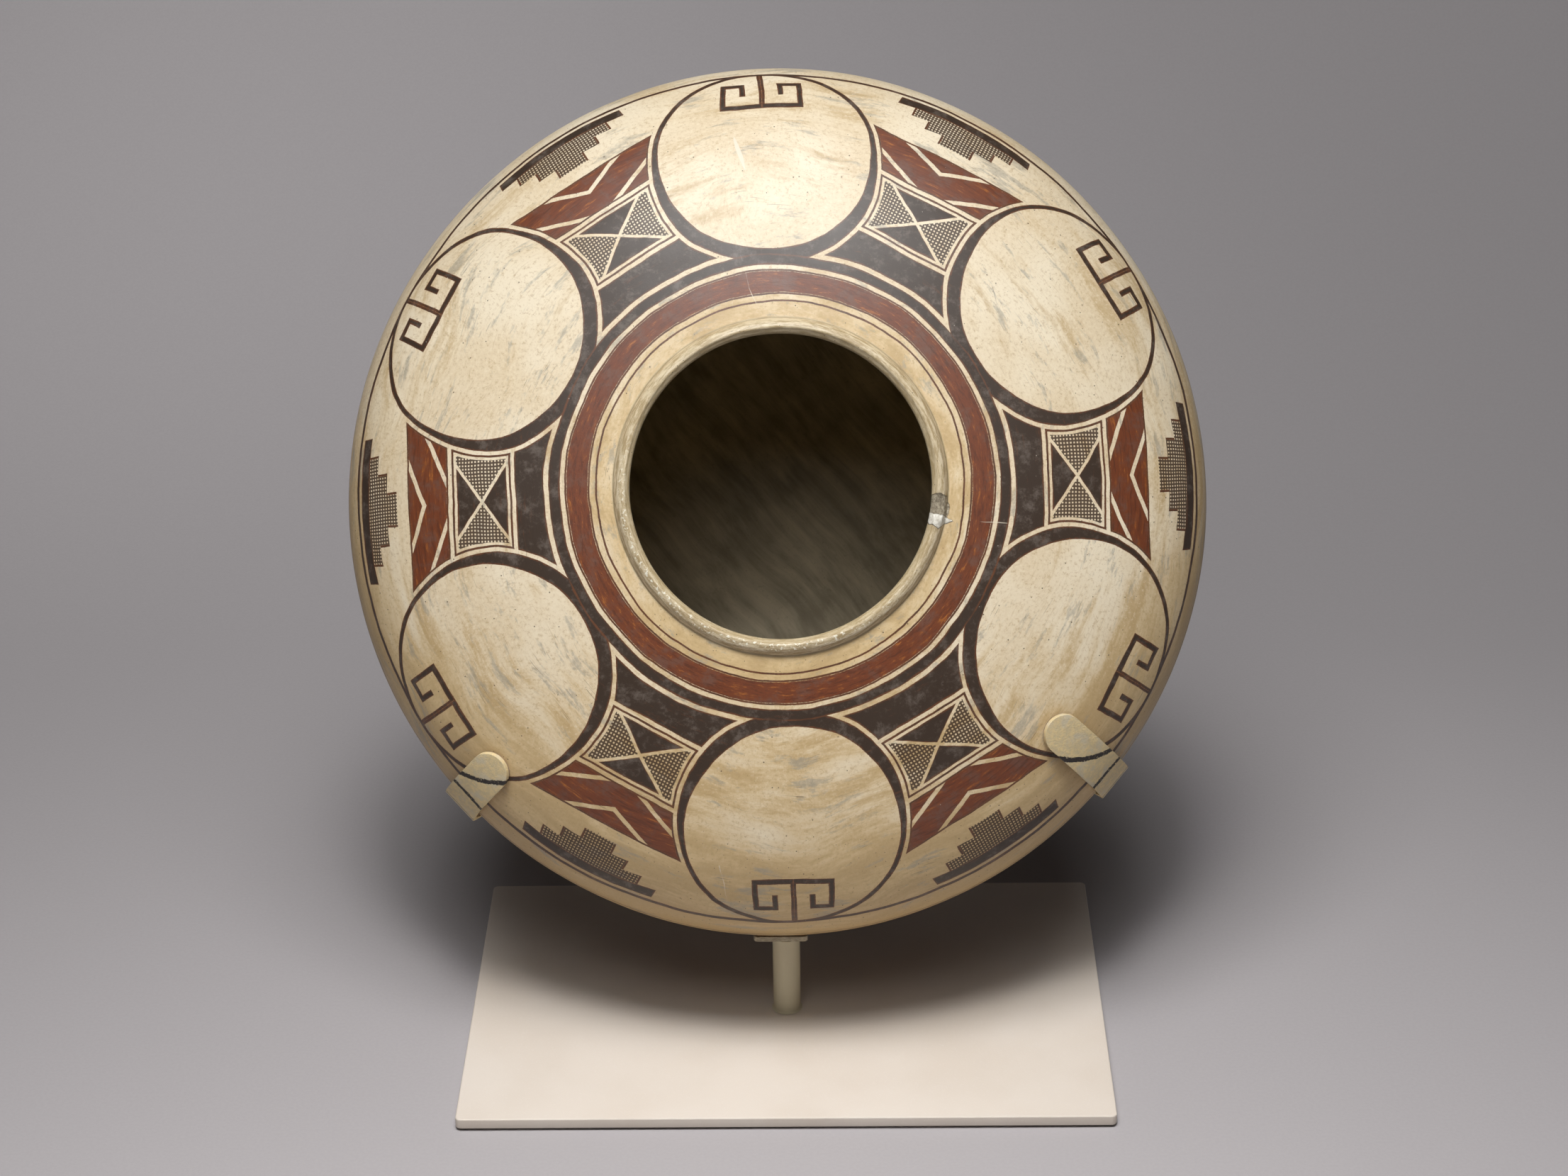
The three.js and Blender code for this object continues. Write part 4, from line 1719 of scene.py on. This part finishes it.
@dataclass
class DisplayStand:
    """The stand: plate on felt, post, and the cradle of straps that holds the jar.

    Sizes are millimetres and angles degrees.
    """

    seat: JarSeat
    design: RoundelDesign
    plate_corner: float = 2.5
    plate_edge: float = 0.6
    felt_cuts: int = 90
    felt_fray: float = 0.35
    felt_low_fray: float = 0.6
    felt_grain: float = 2.3
    post_fillet: float = 0.7
    post_sides: int = 96
    hub_sides: int = 96
    hub_edge: float = 0.6
    arm_width: float = 17.4
    spine_width: float = 24
    strap_thick: float = 2.4
    strap_start: float = 34
    lining_thick: float = 1.0
    lining_margin: float = 0.4
    lining_edge: float = 0.2
    gap: float = 0.3
    rim_angle: float = 60
    arms: tuple[ClipArm, ...] = (
        ClipArm("left_clip", -136.7, 162, 2),
        ClipArm("right_clip", -40, 149.5, -5),
    )

    def __post_init__(self) -> None:
        """Mixes the stand's paints and cuts its felts."""
        self.paint = StandPaint("plate_paint").make()
        # The post's paint is a yellower copy of the plate's: painted warm shade, where the post stands
        # under the jar.
        self.post_shade_tinted_paint = StandPaint(
            "post_shade_tinted_paint", (0.66, 0.60, 0.43), (0.63, 0.57, 0.40), (0.70, 0.65, 0.52)
        ).make()
        self.brushed = BrushedPaint().make()
        self.in_painting = InPainting().make(self.design)
        # The pad felt is tan, made dark enough that its sides along the clips show as lines of painted
        # shade.
        self.pad = FeltFinish("tan_pad_darkened_as_shade", (0.15, 0.075, 0.028), (0.40, 0.24, 0.11)).make()
        self.felt = FeltFinish("dark_felt", (0.018, 0.015, 0.012), (0.055, 0.046, 0.036)).make()

    def build(self) -> list[bpy.types.Object]:
        """Every piece of the stand."""
        foot = [self.plate(), self.under_felt(), self.post(), self.hub()]
        return foot + self.spine() + self.clip_arms()

    @staticmethod
    def bar(node: str) -> bmesh.types.BMesh:
        """The box of a solid, as a mesh in millimetres."""
        low, high = (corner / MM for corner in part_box(node))
        bm = bmesh.new()
        bmesh.ops.create_cube(bm, size=1)
        bmesh.ops.scale(bm, vec=high - low, verts=bm.verts)
        bmesh.ops.translate(bm, vec=(low + high) / 2, verts=bm.verts)
        return bm

    def plate(self) -> bpy.types.Object:
        """The flat plate, with rounded corners and eased edges."""
        bm = self.bar("base_plate")
        upright = [e for e in bm.edges if abs(e.verts[0].co.z - e.verts[1].co.z) > 1]
        ease(bm, upright, self.plate_corner, 8)
        ease(bm, sharp_edges(bm, self.rim_angle), self.plate_edge, 4)
        crease(bm, 25)
        return finished(bm, "stand_plate", ["base_plate"], [self.paint])

    def under_felt(self) -> bpy.types.Object:
        """The thin felt under the plate, its cut edge a little uneven."""
        bm = self.bar("base_felt")
        level = [e for e in bm.edges if abs(e.verts[0].co.z - e.verts[1].co.z) < 0.1]
        bmesh.ops.subdivide_edges(bm, edges=level, cuts=self.felt_cuts, use_grid_fill=False)
        middle_z = sum(v.co.z for v in bm.verts) / len(bm.verts)
        for vert in bm.verts:
            inward = Vector((vert.co.x, vert.co.y, 0)).normalized()
            fray = self.felt_fray * abs(noise.noise(vert.co / self.felt_grain))
            vert.co -= inward * fray * (1 if vert.co.z > middle_z else self.felt_low_fray)
        crease(bm, 40)
        return finished(bm, "under_felt", ["base_felt"], [self.felt])

    def post(self) -> bpy.types.Object:
        """The round post, with a fillet of paint at its foot and its head."""
        low, high = (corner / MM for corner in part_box("post"))
        height = high.z - low.z
        foot_radius = (high.x - low.x) / 2
        radius = foot_radius - self.post_fillet
        section = smooth_line([
            (foot_radius, 0),
            (radius + 0.25, 0.35),
            (radius + 0.03, 1.1),
            (radius, 2.2),
            (radius, height / 2),
            (radius, height - 1.4),
            (radius + 0.05, height - 0.5),
            (radius + 0.3, height),
        ], 4)
        bm = bmesh.new()
        verts = [bm.verts.new((r, 0, h)) for r, h in [(0, 0), *section, (0, height)]]
        spin_round(bm, verts, self.post_sides)
        middle = (low + high) / 2
        bmesh.ops.translate(bm, vec=(middle.x, middle.y, low.z), verts=bm.verts)
        crease(bm, 40)
        return finished(bm, "stand_post", ["post"], [self.post_shade_tinted_paint])

    def hub(self) -> bpy.types.Object:
        """The round disc behind the jar's foot, where the straps are brazed on."""
        across, _, depth = self.seat.spans("hub")
        radius = (across[1] - across[0]) / 2
        bottom, top = (reach - self.seat.centre.dot(self.seat.axis) for reach in depth)
        bm = bmesh.new()
        bmesh.ops.create_cone(bm, cap_ends=True, segments=self.hub_sides, radius1=radius,
                              radius2=radius, depth=top - bottom)
        ease(bm, sharp_edges(bm, self.rim_angle), self.hub_edge, 3)
        for vert in bm.verts:
            vert.co = self.seat.place(vert.co + Vector((0, 0, (top + bottom) / 2)))
        crease(bm, 30)
        return finished(bm, "cradle_hub", ["hub"], [self.brushed])

    def straps(self, stations: Sequence[Station], width: float,
               round_end: bool) -> tuple[bmesh.types.BMesh, bmesh.types.BMesh]:
        """A strap and its lining along the same stations.

        Args:
            stations: The line that they follow.
            width: The strap's width.
            round_end: Whether its far end is a half circle.

        Returns:
            The two meshes.
        """
        lift = self.gap + self.lining_thick + self.gap
        strap = Strap(width, self.strap_thick, lift, self.strap_start, round_end)
        margin = self.lining_margin
        lining = Strap(width - 2 * margin, self.lining_thick, self.gap, self.strap_start, round_end,
                       trim=margin, edge=self.lining_edge)
        meshes = strap.build(self.seat, stations), lining.build(self.seat, stations)
        crease(meshes[0], 35)
        return meshes

    def spine(self) -> list[bpy.types.Object]:
        """The middle strap: behind the jar, under its lowest edge, and forward as the shelf."""
        down = self.seat.turn.transposed() @ Vector((0, 0, -1))
        below = -math.pi / 2
        route = []
        length = self.strap_start
        reach = -math.inf
        while self.seat.skin_point(length, below).dot(down) > reach:
            reach = self.seat.skin_point(length, below).dot(down)
            route.append((length, below))
            length += 1
        stations = self.seat.stations(route)
        point = stations[-1][0]
        along = down.cross(Vector((1, 0, 0)))
        if along.z < 0:
            along.negate()
        stations[-1] = (point, along, down)
        shelf_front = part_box("spine_strap")[0].y / MM
        shelf = round(self.seat.place(point).y - shelf_front)
        stations += [(point + along * run, along, down) for run in range(1, shelf + 1)]
        strap, lining = self.straps(stations, self.spine_width, False)
        return [
            finished(strap, "spine_strap_painted", ["spine_strap"], [self.brushed]),
            finished(lining, "spine_pad", ["spine_lining"], [self.pad]),
        ]

    def clip_arms(self) -> list[bpy.types.Object]:
        """The two side straps, which come round the jar's edge and end as clips."""
        pieces = []
        for arm in self.arms:
            stations = self.seat.stations(arm.route(self.seat, self.strap_start))
            strap, lining = self.straps(stations, self.arm_width, True)
            for bm, node, ending, slot, finish in (
                (strap, f"{arm.name}_arm", "painted", Slot.STEEL, self.in_painting),
                (lining, f"{arm.name}_lining", "pad", Slot.PAD, self.pad),
            ):
                pieces.append(finished(bm, f"{node}_{ending}", [node], [finish]))
        return pieces


@dataclass(frozen=True)
class Lamp:
    """A soft area lamp. Places and sizes are millimetres, power watts, and the spread degrees."""

    name: str
    place: tuple[float, float, float]
    aim: tuple[float, float, float]
    wide: float
    high: float
    power: float
    spread: float = 180

    def hang(self) -> None:
        """Puts the lamp in the scene."""
        data = bpy.data.lights.new(self.name, "AREA")
        data.shape = "RECTANGLE"
        data.size = self.wide * MM
        data.size_y = self.high * MM
        data.energy = self.power
        data.spread = math.radians(self.spread)
        lamp = bpy.data.objects.new(self.name, data)
        place = Vector(self.place)
        lamp.location = place * MM
        lamp.rotation_euler = (Vector(self.aim) - place).to_track_quat("-Z", "Y").to_euler()
        bpy.context.scene.collection.objects.link(lamp)


@dataclass(frozen=True)
class Studio:
    """The camera, a sweep of grey paper and the soft overhead lamps.

    Places and sizes are millimetres, and angles degrees. The paper darkens with height where it
    rises behind the object, so that it throws no light on the object's back.
    """

    camera_place: tuple[float, float, float] = (20.3, -1280.8, 833.8)
    pitch: float = 25.92
    yaw: float = -0.859
    roll: float = 0.82
    lens: float = 76.49
    sensor: float = 36
    sight: float = 50_000
    paper_tone: Colour = (0.386, 0.362, 0.369)
    paper_fleck: float = 1.03
    paper_dark: Colour = (0.02, 0.02, 0.02)
    dark_heights: Pair = (235, 480)
    paper_width: float = 9000
    paper_length: float = 6500
    sweep_start: float = 360
    sweep_radius: float = 800
    sweep_rows: int = 220
    ambient: float = 0.01
    lamps: tuple[Lamp, ...] = (
        Lamp("wide_key", (0, -430, 1680), (0, -60, 200), 1200, 300, 7.7),
        Lamp("left_key", (-200, -500, 1650), (0, -60, 200), 700, 500, 5.2),
        Lamp("top_key", (0, -300, 1700), (0, -60, 200), 700, 500, 7.7),
        Lamp("front_fill", (-150, -1010, 1570), (0, 0, 200), 900, 700, 5.3),
        Lamp("floor_pool", (0, -700, 1700), (0, -450, 0), 300, 300, 1.6, 50),
        Lamp("back_pool", (-420, 760, 1500), (-420, 800, 0), 700, 400, 0.4, 44),
    )

    def build(self) -> None:
        """Places the camera, the paper, the lamps and a faint grey light from all sides."""
        self.place_camera()
        self.lay_paper()
        for lamp in self.lamps:
            lamp.hang()
        world = bpy.data.worlds.new("studio")
        world.use_nodes = True
        world.node_tree.nodes["Background"].inputs["Strength"].default_value = self.ambient
        world.node_tree.nodes["Background"].inputs["Color"].default_value = (1, 1, 1, 1)
        bpy.context.scene.world = world
        bpy.context.scene.view_settings.view_transform = "Standard"

    def place_camera(self) -> None:
        """The camera at the photograph's place and angle."""
        pitch, yaw, roll = (math.radians(a) for a in (self.pitch, self.yaw, self.roll))
        forwards = Vector((math.sin(yaw), math.cos(yaw), 0))
        ahead = forwards * math.cos(pitch) - Vector((0, 0, math.sin(pitch)))
        level = Vector((math.cos(yaw), -math.sin(yaw), 0))
        above = level.cross(ahead)
        right = level * math.cos(roll) - above * math.sin(roll)
        up = level * math.sin(roll) + above * math.cos(roll)
        data = bpy.data.cameras.new("camera")
        data.lens = self.lens
        data.sensor_width = self.sensor
        data.clip_end = self.sight * MM
        camera = bpy.data.objects.new("camera", data)
        turn = Matrix((right, up, -ahead)).transposed().to_4x4()
        camera.matrix_world = Matrix.Translation(Vector(self.camera_place) * MM) @ turn
        bpy.context.scene.collection.objects.link(camera)
        bpy.context.scene.camera = camera

    def lay_paper(self) -> None:
        """The plain paper on the table, which curves up behind the object."""
        bm = bmesh.new()
        bmesh.ops.create_grid(bm, x_segments=1, y_segments=self.sweep_rows, size=1)
        for vert in bm.verts:
            along = vert.co.y * self.paper_length / 2 - self.sweep_start
            turn = min(max(along / self.sweep_radius, 0), math.pi / 2)
            rest = along - turn * self.sweep_radius
            back = self.sweep_radius * math.sin(turn) + rest * math.cos(turn)
            rise = self.sweep_radius * (1 - math.cos(turn)) + rest * math.sin(turn)
            vert.co = Vector((vert.co.x * self.paper_width / 2, self.sweep_start + back, rise)) * MM
        for face in bm.faces:
            face.smooth = True
        mesh = bpy.data.meshes.new("paper")
        bm.to_mesh(mesh)
        bm.free()
        sheet = Sheet("grey_paper")
        place = sheet.object_place()
        grain = sheet.noise(place, 1.5, 2, 0.5)
        fleck = tuple(self.paper_fleck * part for part in self.paper_tone)
        colour = sheet.mix(grain.rise(0.3, 0.7), self.paper_tone, fleck)
        height = sheet.split(place)[2]
        colour = sheet.mix(height.rise(*self.dark_heights) * 0.95, colour, self.paper_dark)
        mesh.materials.append(sheet.finish(colour, 0.85))
        paper = bpy.data.objects.new("paper", mesh)
        bpy.context.scene.collection.objects.link(paper)


def main() -> None:
    """Builds the object and the studio round it."""
    logging.basicConfig(level=logging.INFO, format="%(message)s")
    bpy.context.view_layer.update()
    Studio().build()
    shape = JarShape()
    seat = JarSeat(shape)
    log.info("jar centre %s mm", tuple(round(c, 2) for c in seat.centre))
    design = RoundelDesign()
    SeedJar(shape, seat, PaintedSkin(design), BareClay()).build()
    DisplayStand(seat, design).build()


if __name__ == "__main__":
    main()
